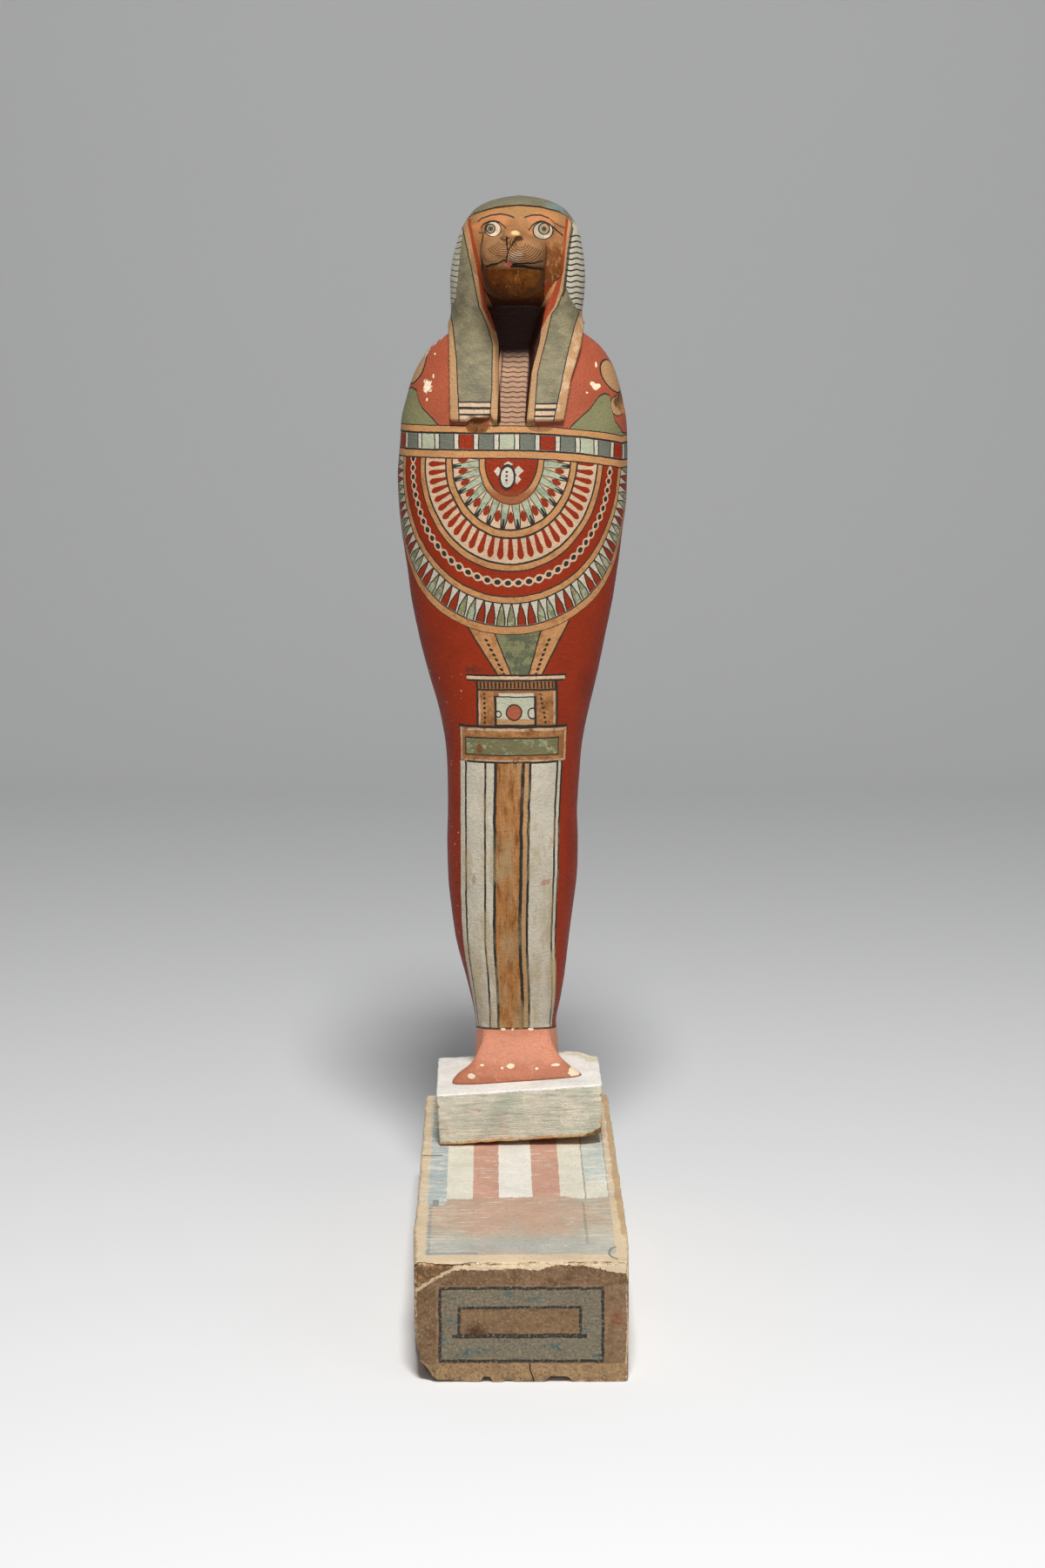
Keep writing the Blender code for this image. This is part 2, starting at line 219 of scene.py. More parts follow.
class Finish:
    """One finish, built up coat by coat: each coat covers what is below it where its mask is 1.

    Its place is that on the object, in millimetres. Across and up are set by each piece: they are
    where the brush is, and its ovals are laid out in them. The relief is in millimetres.
    """

    def __init__(self, name, ground):
        self.material = bpy.data.materials.new(name)
        self.material.use_nodes = True
        self.tree = self.material.node_tree
        self.colour = pigment(ground)
        self.relief = 0
        self.place = self.scaled(self.add("ShaderNodeTexCoord").outputs["Object"], (1000, 1000, 1000))

    def add(self, kind, inputs=(), **settings):
        """A shader node with these settings and inputs; an input is a measure, a socket or a value."""
        node = self.tree.nodes.new(kind)
        for setting, value in settings.items():
            setattr(node, setting, value)
        for key, value in dict(inputs).items():
            self.join(value, node.inputs[key])
        return node

    def join(self, value, socket):
        value = getattr(value, "socket", value)
        if isinstance(value, bpy.types.NodeSocket):
            self.tree.links.new(value, socket)
        else:
            socket.default_value = value

    def math(self, operation, *values):
        node = self.add("ShaderNodeMath", enumerate(values), operation=operation)
        return Measure(self, node.outputs[0])

    def scaled(self, vector, factors):
        return self.add("ShaderNodeVectorMath", {0: vector, 1: factors}, operation="MULTIPLY").outputs[0]

    def parts(self, vector):
        return [Measure(self, socket) for socket in self.add("ShaderNodeSeparateXYZ", {0: vector}).outputs]

    def mark(self, name, output="Fac"):
        """What the mesh keeps at its points under this name: a number, or three by Vector."""
        return Measure(self, self.add("ShaderNodeAttribute", attribute_name=name).outputs[output])

    def noise(self, size, detail, rough, stretch=None):
        place = self.scaled(self.place, stretch) if stretch else self.place
        return self.add("ShaderNodeTexNoise", {
            "Vector": place, "Scale": 1 / size, "Detail": detail, "Roughness": rough})

    def cloud(self, size, detail=3, rough=0.55, stretch=None):
        """Cloudy random value from 0 to 1, its middle at 0.5; size is that of its largest forms."""
        return Measure(self, self.noise(size, detail, rough, stretch).outputs["Fac"])

    def stray(self, size, reach):
        """How far a hand-held brush strays across and upwards, up to about this reach."""
        across, upwards, _ = self.parts(self.noise(size, 4, 0.6).outputs["Color"])
        return (across - 0.5) * (2 * reach), (upwards - 0.5) * (2 * reach)

    def coat(self, colour, where, strength=1.0):
        """Covers with a colour where the mask is 1; with strength below 1 it lets some through."""
        if strength != 1.0:
            where = where * strength
        if isinstance(colour, tuple):
            colour = pigment(colour)
        node = self.add("ShaderNodeMix", {"Factor": where, "A": self.colour, "B": colour}, data_type="RGBA")
        self.colour = node.outputs["Result"]

    def coats(self, within, *rows):
        """Coats laid one over another within one outline; each is a colour, a mask and a strength."""
        for colour, where, *strength in rows:
            self.coat(colour, where * within, *strength)

    def ramp(self, measure, low, span, blend, stops):
        """A colour that goes with the measure, from stop to stop."""
        node = self.add("ShaderNodeValToRGB", {0: (measure - low) / span})
        ramp = node.color_ramp
        ramp.interpolation = blend
        while len(ramp.elements) < len(stops):
            ramp.elements.new(1)
        for element, (at, colour) in zip(ramp.elements, stops):
            element.position = (at - low) / span
            element.color = colour
        return node.outputs["Color"]

    def stripes(self, measure, low, high, edges):
        """Flat colours side by side: each starts where the measure passes its edge."""
        stops = [(edge, pigment(colour)) for edge, colour in edges]
        return self.ramp(measure, low, high - low, "CONSTANT", stops)

    def course(self, measure, points):
        """The second number of a point wherever the measure has its first, and between them a blend."""
        points = np.array(sorted(points), float)
        (first, low), (length, span) = points.min(0), np.ptp(points, axis=0)
        stops = [(at, ((value - low) / span,) * 3 + (1,)) for at, value in points]
        return Measure(self, self.ramp(measure, first, length, "LINEAR", stops)) * span + low

    def line(self, along, aside, points, thick):
        """1 on a line through points, from the first to the last; thick is half its width."""
        middle = (points[0][0] + points[-1][0]) / 2
        on_course = abs(aside - self.course(along, points)) < thick
        return on_course * along.near(middle, points[-1][0] - middle)

    def spot(self, middle, level, wide, tall):
        """Distance from the middle of an oval, 1 at its outline."""
        return away((self.across - middle) / wide, (self.up - level) / tall)

    def blot(self, oval, uneven, low, high):
        """1 inside an oval whose outline is made uneven."""
        return (self.spot(*oval) + uneven).rise(low, high)

    def shade(self, amount):
        """Makes the colour lighter or darker by a factor that varies around 1."""
        node = self.add("ShaderNodeVectorMath", {0: self.colour, "Scale": amount}, operation="SCALE")
        self.colour = node.outputs[0]

    def done(self, roughness, shine):
        """Ends the finish; the relief shows as bump."""
        bump = self.add("ShaderNodeBump", {"Distance": 0.001, "Height": self.relief})
        for key, value in (("Base Color", self.colour), ("Roughness", roughness),
                           ("Specular IOR Level", shine), ("Normal", bump.outputs["Normal"])):
            self.join(value, self.tree.nodes["Principled BSDF"].inputs[key])
        return self.material


EVERYWHERE = 1
GESSO = (236, 214, 184)
FLAKE_DEPTH = 0.3


def weather(finish, roughness=0.6, ripple=1.0, shine=0.18):
    """Brush marks, stains, worn specks and fine cracks over the paint, and the relief they leave."""
    patches = finish.cloud(17, 4)
    brushed = finish.cloud(2.6, 4, 0.6, (1, 1, 2.6))
    specks = finish.cloud(0.8, 3, 0.75)
    finish.shade(0.72 + patches * 0.56)
    finish.shade(0.8 + brushed * 0.4)
    finish.coat((52, 32, 20), (specks + patches * 0.14).rise(0.69, 0.77), 0.55)
    finish.shade(1.2 - specks * 0.4)
    # The cracks are the borders of cells about 7 mm wide, and show only where the paint is palest.
    cells = finish.add("ShaderNodeTexVoronoi", {"Vector": finish.scaled(finish.place, (1, 1, 0.6))},
                       feature="DISTANCE_TO_EDGE")
    cells.inputs["Scale"].default_value = 1 / 7
    cracks = Measure(finish, cells.outputs["Distance"]).rise(0.016, 0.006)
    cracks = cracks * (brushed + patches).rise(1.1, 1.2)
    finish.coat((60, 40, 26), cracks, 0.25)
    finish.relief += (brushed + finish.cloud(1.7, 1)) * (0.34 * ripple) - cracks * 0.15 - specks * 0.16
    return finish.done((0.72 - brushed * 0.45).most(0.3) * (roughness / 0.62), shine)


def flake(finish, size, threshold, where=EVERYWHERE, colour=GESSO, stretch=None):
    """Flakes of paint that have come off and show the gesso below."""
    lost = finish.cloud(size, 4, 0.65, stretch).rise(threshold, threshold + 0.012) * where
    finish.coat(colour, lost)
    finish.relief += lost * -FLAKE_DEPTH


grid = block_grid(BASE_SIZE, 190, 150, 62, 26)
points, facing, edge = worn_block(grid, BASE_SIZE, BASE_ROUNDING, BASE_WEAR, 3)
half = BASE_SIZE / 2
points, worn = cut_corner(points, -half, BASE_WORN_EDGE, 0.0007, 4)
points, broken = cut_corner(points, -half, BASE_LOST_CORNER, 0.0011, 5)
broken = np.maximum(broken, worn * (points[:, 1] > -0.1540))
points = points + np.array([0, 0, half[2]])
# Its long sides aren't quite straight, gesso has come off the front below its left corner, and two
# notches are worn into the front's lower edge.
x, y, z = points.T
to_side = x / half[0]
left_out = np.interp(y, (-0.146, -0.126, -0.102, -0.078, -0.043, 0.063),
                     (0.0002, -0.0006, -0.0016, -0.0012, -0.0009, -0.0009))
right_out = np.interp(y, (-0.155, -0.14, -0.116, -0.086, 0.0, 0.123),
                      (0.0, 0.0008, 0.0014, 0.0018, 0.0019, 0.0018))
x += np.where(to_side < 0, -left_out * to_side, right_out * to_side)
crumbs = grain(points, 0.004, 61)
loss_line = np.interp(x, (-0.055, -0.047, -0.042, -0.036, -0.033, -0.02, 0.05),
                      (0.0485, 0.053, 0.0557, 0.0585, 0.0612, 0.0622, 0.0625)) + 0.0006 * crumbs
lost = ease(-0.0005, 0.0005, z - loss_line) * (facing[:, 1] < -0.35)
y += lost * (0.0013 + 0.0007 * crumbs)
notch = np.maximum(ease(0.0035, 0.0012, np.abs(x + 0.0175)), ease(0.0075, 0.004, np.abs(x - 0.019)))
z += notch * ease(0.005, 0.0, z) * (y < -0.146) * 0.0026
base = close_skin("painted_base", points.reshape(grid.shape), broken=broken, lost=lost, edge=edge)

BEIGE = (214, 192, 160)
BARE_WOOD = (150, 116, 80)
OLD_WOOD = (112, 84, 58)
STAND_WHITE = (232, 226, 214)
STAND_CREAM = (222, 216, 196)
STAND_BLUE = (176, 184, 180)
STAND_PINK = (200, 154, 132)
STAND_LINE = (52, 50, 48)
SLATE_LINE = (120, 122, 114)
LIGHT_SLATE = (160, 162, 152)
paint = Finish("base_paint", BEIGE)
x, y, z = paint.parts(paint.place)
stray_across, stray_up = paint.stray(9, 0.9)
across, along, upright = x + stray_across, y + stray_up * 1.6, z + stray_up
paint.across, paint.up = across, upright
fine = paint.cloud(3, 4, 0.7)
gritty = paint.cloud(1.5, 5, 0.8)
grained = paint.cloud(2.4, 4, 0.65, (1, 0.12, 1))
# Its top: stripes along it under the foot block, worn away towards the front.
top = z > 61.9
streaks = paint.cloud(2.2, 4, 0.65, (0.16, 1, 1))
strokes = paint.cloud(3.4, 5, 0.7, (0.3, 1, 1))
faded = paint.cloud(26, 4) + along.rise(-84, -104) * 0.2 + across.rise(10, 40) * 0.12
smear = (1 - abs(across + 4) / 34).rise(0, 0.5) * (1 - abs(along + 74) / 44).rise(0, 0.6)
ends = paint.course(x, [(-54, -62), (-39.5, -60), (-38.8, -50), (-25.5, -50), (-11, -48), (7, -47),
                        (22, -46), (35, -50), (54, -44)]) + (fine - 0.5) * 6
striped = along > ends
rubbed = (streaks + along.rise(-50, -60) * -0.05).rise(0.58, 0.68)
hook = away((across - 49.5) / 5.2, (along + 139) / 9.5)
paint.coats(
    (abs(across + 0.2) < 48.6) * (along > -141) * top,
    ((189, 163, 140), 1),
    ((178, 168, 148), faded.rise(0.58, 0.7)),
    (STAND_BLUE, (1 - abs(along + 128) / 22).rise(0.0, 0.8), 0.5),
    (STAND_PINK, smear * (fine + streaks).rise(0.85, 1.1), 0.6),
    ((214, 203, 184), (streaks + abs(across) / 170).rise(0.68, 0.84), 0.55))
paint.coats(
    top,
    (paint.stripes(across, -54, 54, [
        (-54, BEIGE), (-49.3, STAND_BLUE), (-39.3, STAND_CREAM), (-25.3, STAND_PINK), (-11.3, STAND_WHITE),
        (6.8, STAND_PINK), (22.2, STAND_CREAM), (35.4, LIGHT_SLATE), (36.2, STAND_CREAM),
        (47.8, LIGHT_SLATE), (48.8, BEIGE)]), striped),
    ((184, 194, 186), abs(across - 42).rise(6.2, 5.2) * (along > -18), 0.8),
    (STAND_WHITE, strokes.rise(0.52, 0.6) * (abs(across) > 36.5) * (along > -70) * striped, 0.7),
    ((150, 172, 178), strokes.rise(0.46, 0.4) * (across < -39.5) * (across > -49) * striped, 0.45),
    (STAND_WHITE, rubbed * (1 - abs(across + 0.2).rise(46, 50)), 0.75),
    ((130, 140, 142), across.near(-47.2, 0.8) * along.near(-97.5, 43.5) * streaks.rise(0.58, 0.5), 0.6),
    ((130, 148, 150), along.near(-139.6, 1.5) * (across > -48) * (across < -22), 0.7),
    (SLATE_LINE, across.near(34.2, 0.7) * along.near(-90, 34), 0.4),
    (SLATE_LINE, hook.near(0.92, 0.12) * (across < 49), 0.85),
    (SLATE_LINE, across.near(-44.8, 1.6) * along.near(-57, 6), 0.7),
    ((120, 96, 72), along.near(29.6, 0.7) * (across < -42)),
    ((186, 152, 108), (across + grained * 4 > 54) * (along > -110), 0.8))
# Its front: two dark rectangles, one inside the other, with a blue-green ground between them.
ragged = paint.course(x, [(-54, 62.6), (-44, 61.8), (-36, 60.8), (-33, 60.0), (-21, 59.6), (-12, 59.8),
                          (-2.7, 60.8), (3, 59.9), (8.2, 59.4), (14.4, 61.8), (31, 62.2), (36, 61),
                          (47, 58.5), (54, 58)])
outer = abs(across - 0.05)
inner = abs(across + 0.8)
ground = (outer < 40.3) * upright.near(30.6, 18.4)
panel = (inner < 29.8) * upright.near(32.4, 6.5)
teal = paint.cloud(7, 5, 0.7, (0.6, 1, 1))
crack = paint.course(z, [(0, 6.6), (3, 5.8), (6, 4.6), (10, 4.2)])
paint.coats(
    (y < -151.8) * (z + (fine - 0.5) * 3.4 < ragged - 0.3),
    ((140, 111, 83), 1),
    ((104, 78, 52), fine.rise(0.48, 0.62), 0.8),
    ((168, 136, 96), (upright < 10) * fine.rise(0.35, 0.6)),
    # Darker brown at the front's left edge, and in a strip under its ragged top edge; that strip is partly
    # dirt and partly painted shadow under the edge.
    ((104, 76, 50), (across < -43).most(upright > 51.5) * paint.cloud(7, 4, 0.7).rise(0.34, 0.62), 0.9),
    (STAND_LINE, (outer < 41.9) * upright.near(30.6, 20.0)),
    ((120, 112, 94), ground),
    ((72, 98, 98), ground * teal.rise(0.56, 0.62), 0.8),
    ((136, 112, 84), ground * teal.rise(0.42, 0.34), 0.7),
    (STAND_LINE, ((inner < 31.4) * upright.near(32.3, 8.1)).most((inner < 34) * upright.near(24.5, 1.0))),
    ((132, 104, 75), panel),
    ((104, 78, 52), panel * fine.rise(0.5, 0.62), 0.8),
    ((182, 154, 118), gritty.rise(0.53, 0.6), 0.5),
    ((66, 46, 30), gritty.rise(0.44, 0.38), 0.65),
    ((74, 48, 28), paint.blot((-23, 27.5, 7, 4.5), fine * 1.6, 1.9, 1.0), 0.9),
    ((140, 62, 44), paint.blot((48, 34, 5, 6), fine * 1.6, 1.7, 0.9), 0.55),
    ((40, 28, 20), (abs(x - crack) < 0.35) * (z < 10)))
# Bare wood where the gesso is lost, and along the worn edges.
lost = paint.mark("lost")
broken = paint.mark("broken")
worn = (paint.mark("edge") * 0.8 + fine).rise(1.0, 1.06)
rim = paint.course(x, [(-54, 48.2), (-47, 52.6), (-42.1, 55.7), (-36, 58.4), (-33, 61)])
rim = (abs(z + (fine - 0.5) * 5 - rim) < 0.75) * (x < -30) * (y < -150)
paint.coats(
    EVERYWHERE,
    (OLD_WOOD, lost.rise(0.2, 0.5) * (y < -150)),
    ((160, 122, 82), lost.rise(0.3, 0.5) * (y < -150) * fine.rise(0.48, 0.58)),
    ((204, 182, 148), rim, 0.85),
    ((208, 182, 146), worn),
    ((120, 88, 58), worn * gritty.rise(0.54, 0.6), 0.7),
    ((196, 170, 132), broken),
    ((134, 98, 62), broken * fine.rise(0.44, 0.56), 0.85))
paint.relief += (rim + fine) * 0.5
flake(paint, 4.2, 0.67, top * (along < 20), STAND_WHITE, (0.5, 1, 1))
# Its long sides and its back are plain gesso, stained, with the wood's grain showing through.
bare = (paint.cloud(22, 5, 0.65) + z.rise(14, 0) * 0.1 + z.rise(52, 61) * 0.06).rise(0.66, 0.68)
paint.coats(
    (z < 61.5) * (y > -151.5),
    ((176, 142, 102), grained.rise(0.5, 0.64), 0.45),
    (BARE_WOOD, bare * grained.rise(0.3, 0.5)),
    ((124, 98, 70), paint.cloud(40, 4, 0.6).rise(0.5, 0.7), 0.4))
base.data.materials.append(weather(paint, 0.75, 0.6))
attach(base, "root")
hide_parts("base")

# The foot block: a small block of wood, gessoed and whitened, that leans a little on the base.
# Its corners are worn; the right one at the back is broken away.
BLOCK_SIZE = np.array([0.0925, 0.081, 0.030])
BLOCK_LEAN = math.radians(3.6)
BLOCK_LOWER_EDGE = np.array([-0.04445, 0.0875, 0.0633])
BLOCK_ROUNDING = 0.0009
BLOCK_WEAR = 0.0007


def lean(points):
    """Turns points about the block's lower left edge, which lies at the origin, right side up."""
    x, y, z = points.T
    c, s = math.cos(BLOCK_LEAN), math.sin(BLOCK_LEAN)
    return np.stack([c * x - s * z, y, s * x + c * z], -1)


grid = block_grid(BLOCK_SIZE, 130, 90, 50, 30)
points, _, edge = worn_block(grid, BLOCK_SIZE, BLOCK_ROUNDING, BLOCK_WEAR, 41)
half = BLOCK_SIZE / 2
points, broken_behind = cut_corner(points, half, -BLOCK_SIZE * (0.25, 0.4, 0.2), 0.0012, 45)
points, broken_before = cut_corner(points, half * (1, -1, -1), BLOCK_SIZE * (-0.1, 0.06, 0.15), 0.0008, 47)
# Its right side isn't square: it leans outwards.
points[:, 0] += 0.0022 * ease(0, 1, points[:, 0] / half[0]) * ease(-half[2], half[2], points[:, 2])
points = lean(points + half * (1, 0, 1)) + BLOCK_LOWER_EDGE
foot_block = close_skin("whitened_foot_block", points.reshape(grid.shape),
                        broken=broken_behind + broken_before, edge=edge)
paint = Finish("block_paint", (218, 209, 190))
x, _, z = paint.parts(paint.place)
own_height = z - x * math.tan(BLOCK_LEAN) - 66.1
brushed = paint.cloud(1.7, 4, 0.7, (0.12, 0.12, 1))
fine = paint.cloud(3, 4, 0.7)
blotches = paint.cloud(15, 4, 0.6)
worn = (paint.mark("edge") * 0.8 + fine).rise(1.04, 1.12)
broken = paint.mark("broken")
paint.coats(
    EVERYWHERE,
    ((184, 188, 168), blotches.rise(0.46, 0.62), 0.8),
    ((170, 166, 146), brushed.rise(0.45, 0.7), 0.65),
    ((224, 219, 200), brushed.rise(0.42, 0.34) * blotches.rise(0.6, 0.4), 0.6),
    ((216, 178, 152), paint.cloud(9).rise(0.56, 0.66) * (x < -5), 0.7),
    ((90, 86, 70), brushed.rise(0.68, 0.74), 0.3),
    ((112, 112, 94), paint.cloud(0.8, 3, 0.6, (0.05, 0.05, 1)).rise(0.56, 0.66), 0.5),
    ((236, 231, 222), own_height + (fine - 0.5) * 2.4 > 29.0),
    ((206, 160, 112), (own_height + (fine - 0.5) * 7).rise(2.2, 1.4)),
    ((208, 180, 132), worn * (own_height < 28.5)),
    ((104, 76, 48), worn * fine.rise(0.58, 0.64) * (own_height < 28.5), 0.7),
    ((226, 214, 188), broken * (own_height > 15)),
    ((170, 126, 82), broken * (own_height < 15)),
    ((112, 76, 46), broken * (own_height < 15) * fine.rise(0.46, 0.56), 0.8))
paint.relief += brushed * 0.7
foot_block.data.materials.append(weather(paint, 0.75, 0.4))
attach(foot_block, "root")
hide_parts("foot_block")

# The figure: one piece of wood, carved, covered with gesso and painted. Its proportions are
# thousandths of its height: height, left side, right side, front and back of each level section.
# It stands on the foot block, and its sole is cut to the block's lean.
FIGURE_HEIGHT = 0.500
THOUSANDTH = FIGURE_HEIGHT / 1000
FIGURE_FOOT = np.array([0, 0.098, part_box("figure")[1].z - FIGURE_HEIGHT])
SECTION_SQUARENESS = 2.35
BODY_SECTIONS = [
    (-20, -50, 50, -46, 57), (10, -49, 49, -45, 56), (30, -48, 48, -41, 53),
    (55, -48, 46, -36, 49), (77, -52, 50, -38, 49), (107, -59, 55, -42, 50),
    (147, -69, 60, -46, 54), (187, -75, 65, -50, 58), (227, -79, 70, -54, 61),
    (267, -80, 71, -58, 64), (307, -79, 70, -60, 66), (347, -79, 72, -61, 67),
    (387, -82, 76, -62, 68), (427, -90, 84, -64, 69), (467, -101, 93, -66, 70),
    (507, -111, 101, -69, 72), (547, -119, 109, -72, 74), (587, -124, 115, -75, 76),
    (627, -130, 120, -78, 77), (657, -133, 124, -79, 78), (687, -134, 125, -80, 78),
    (727, -131, 125, -78, 78), (757, -129, 123, -75, 77), (777, -124, 119, -71, 76),
    (797, -118, 114, -66, 74), (817, -108, 106, -60, 71), (837, -92, 91, -52, 64),
    (851, -72, 72, -44, 54)]
TOES_SECTIONS = [
    (-12, -68, 73, -69, -4), (0, -66, 71, -68, -4), (6, -61, 66, -67, -4),
    (13, -51, 56, -61, -5), (22, -44, 46, -53, -8), (33, -39, 39, -43, -10),
    (42, -33, 33, -34, -12), (56, -14, 14, -20, -13)]
TOES_SQUARENESS = 4.5
TOES_SPREAD = 0.22
ANKLE_FILLET = 9


def through(stations, key, at):
    """Values of a table at other places along one of its columns, on a smooth curve through them."""
    table = np.array(stations, float)
    slopes = np.gradient(table, key, axis=0)
    i = np.clip(np.searchsorted(key, at) - 1, 0, len(key) - 2)
    length = (key[i + 1] - key[i])[..., None]
    t = (at - key[i])[..., None] / length
    return (table[i] * (2 * t**3 - 3 * t**2 + 1) + table[i + 1] * (3 * t**2 - 2 * t**3)
            + slopes[i] * length * (t**3 - 2 * t**2 + t) + slopes[i + 1] * length * (t**3 - t**2))


def section_at(stations, height):
    """Left, right, front and back of a row of sections at these heights."""
    key = np.array(stations, float)[:, 0]
    values = through(stations, key, np.clip(height, key[0], key[-1]))
    return np.moveaxis(values[..., 1:5], -1, 0)


def rounded(across, along, squareness=SECTION_SQUARENESS):
    """Size of a place in a rounded square whose outline is at 1: (|a|^n + |b|^n)^(1/n)."""
    return (np.abs(across)**squareness + np.abs(along)**squareness)**(1 / squareness)


def loft(sections, turns):
    """Points round each section: its height, left side, right side, front and back.

    Also returned are the sections' middles, how far the outline is from there in each direction,
    and the directions in plan.
    """
    height, left, right, front, back = (side[:, None] for side in sections)
    way = np.stack([np.cos(turns), np.sin(turns)], -1)
    middle = np.stack([(left + right) / 2, (front + back) / 2], -1)
    reach = 1 / rounded(way[:, 0] / ((right - left) / 2), way[:, 1] / ((back - front) / 2))
    rows = np.empty((*reach.shape, 3))
    rows[..., :2] = middle + way * reach[..., None]
    rows[..., 2] = height
    return rows, middle, reach, way


def outside_section(x, y, bounds, squareness, spread=0.0):
    """How far a point lies outside a rounded section, about; inside it is less than nothing."""
    left, right, front, back = bounds
    half_width, half_depth = (right - left) / 2, (back - front) / 2
    along = (y - (front + back) / 2) / half_depth
    across = (x - (left + right) / 2) / (half_width * (1 - spread * np.clip(along, -1, 1)))
    return (rounded(across, along, squareness) - 1) * np.minimum(half_width, half_depth)


def joined(first, second, fillet):
    """The nearer of two distances, with a soft fillet where they meet."""
    share = np.clip(0.5 + 0.5 * (second - first) / fillet, 0, 1)
    return second * (1 - share) + first * share - fillet * share * (1 - share)


def outermost(inside_from, direction, outside, far, steps=40, halvings=9):
    """Distance along each direction to where a shape ends: the last step inside, then halved."""
    low = np.zeros(direction.shape[:-1])
    for distance in np.linspace(0, far, steps):
        low = np.where(outside(inside_from + direction * distance) < 0, distance, low)
    high = low + far / (steps - 1)
    for _ in range(halvings):
        middle = (low + high) / 2
        within = outside(inside_from + direction * middle[..., None]) < 0
        low, high = np.where(within, middle, low), np.where(within, high, middle)
    return low


def outside_body(points):
    """Body and toes as one form, with a fillet between them."""
    x, y, height = np.moveaxis(points, -1, 0)
    body = outside_section(x, y, section_at(BODY_SECTIONS, height), SECTION_SQUARENESS)
    toes = outside_section(x, y, section_at(TOES_SECTIONS, height), TOES_SQUARENESS, TOES_SPREAD)
    toes = np.where(height > TOES_SECTIONS[-1][0], 50, toes)
    return joined(body, toes, ANKLE_FILLET)


def front_to_back(count, crowding):
    """Angles round from the back by the left, the front and the right, closer together in front."""
    turn = np.linspace(-1, 1, count, endpoint=False)
    return -math.pi / 2 + math.pi * (crowding * turn + (1 - crowding) * turn * np.abs(turn))


BODY_COLUMNS = 300
FOOT_ROWS = 44
FOOT_TOP = 60
foot_levels = np.linspace(0, FOOT_TOP, FOOT_ROWS, endpoint=False)
levels = np.concatenate([foot_levels, np.linspace(FOOT_TOP, BODY_SECTIONS[-1][0], 286)])
turns = front_to_back(BODY_COLUMNS, 0.9)
rows, axis, _, way = loft([levels, *section_at(BODY_SECTIONS, levels)], turns)
foot = rows[:FOOT_ROWS]
start = foot.copy()
start[..., :2] = axis[:FOOT_ROWS]
foot_way = np.append(way, np.zeros((BODY_COLUMNS, 1)), axis=1)
for _ in range(3):
    reach = outermost(start, foot_way, outside_body, 100)
    foot[..., :2] = start[..., :2] + way * reach[..., None]
    start[..., 2] = foot_levels[:, None] + foot[..., 0] * math.tan(BLOCK_LEAN) * (
        1 - foot_levels / FOOT_TOP)[:, None]
foot[..., 2] = start[..., 2]

step_round = np.linalg.norm(np.diff(rows, axis=1, append=rows[:, :1]), axis=-1)
from_back = np.cumsum(step_round, axis=1) - step_round
middle_column = np.argmin(np.abs(turns + math.pi / 2))
from_front = from_back - from_back[:, middle_column:middle_column + 1]
from_back[:, middle_column:] -= step_round.sum(1, keepdims=True)
rows = rows * THOUSANDTH + FIGURE_FOOT
# The carving isn't quite even, and a piece has come off the edge of the right shoulder.
points = rows.reshape(-1, 3)
uneven = 0.00022 * grain(points, 0.03, 71) + 0.00006 * grain(points, 0.006, 72)
oval = np.hypot((points[:, 1] - 0.090) / 0.0100, (points[:, 2] - 0.4815) / 0.0052)
bitten = ease(1.0, 0.72, oval + 0.16 * grain(points, 0.004, 73)) * (points[:, 0] > 0.045)
rows[..., :2] += way * (uneven - 0.0022 * bitten).reshape(from_front.shape)[..., None]
wrap = np.stack([from_front * THOUSANDTH, rows[..., 2], from_back * THOUSANDTH], -1) * 1000
body = close_skin("painted_body", rows, wrap=wrap, bitten=bitten)

RED = (137, 41, 10)
PALE_RED = (162, 84, 58)
DARK = (44, 40, 34)
# Painted shadow: the dark brown laid under the chin, on the throat, on the wig and on the face.
PAINTED_CHIN_SHADOW = (42, 17, 7)
ORANGE = (182, 131, 84)
CREAM = (195, 166, 136)
MINT = (164, 167, 141)
SAGE = (123, 120, 85)
SLATE = (103, 105, 92)
WHITE = (188, 179, 161)
OCHRE = (158, 107, 58)
TAN = (172, 132, 92)
DEEP_TAN = (148, 98, 56)
JAMB_TAN = (140, 92, 52)
SHRINE_WHITE = (176, 175, 152)
PINK = (203, 134, 105)
THROAT = (166, 129, 99)
THROAT_LINE = (84, 56, 50)
FIGURE_MIDDLE_DEPTH = 98


def on_the_body(name, ground):
    """A finish, and its distance round from the front middle and its height, both unsteady.

    Then comes 1 on the front half of the figure, where the painted pictures are, and the distance
    round from the back middle.
    """
    finish = Finish(name, ground)
    round_front, height, round_back = finish.parts(finish.mark("wrap", "Vector"))
    stray_across, stray_up = finish.stray(7, 0.55)
    finish.across, finish.up = round_front + stray_across, height + stray_up
    front = finish.parts(finish.place)[1] < FIGURE_MIDDLE_DEPTH
    return finish, finish.across, finish.up, front, round_back + stray_across


def chips(finish, uneven, outline, where, ovals):
    """Small pieces of paint lost down to the gesso, each inside an uneven oval."""
    for oval in ovals:
        chip = finish.blot(oval, finish.cloud(2.4, 3, 0.7) * uneven, outline, outline - 0.05) * where
        finish.coat(GESSO, chip)
        finish.relief += chip * -FLAKE_DEPTH


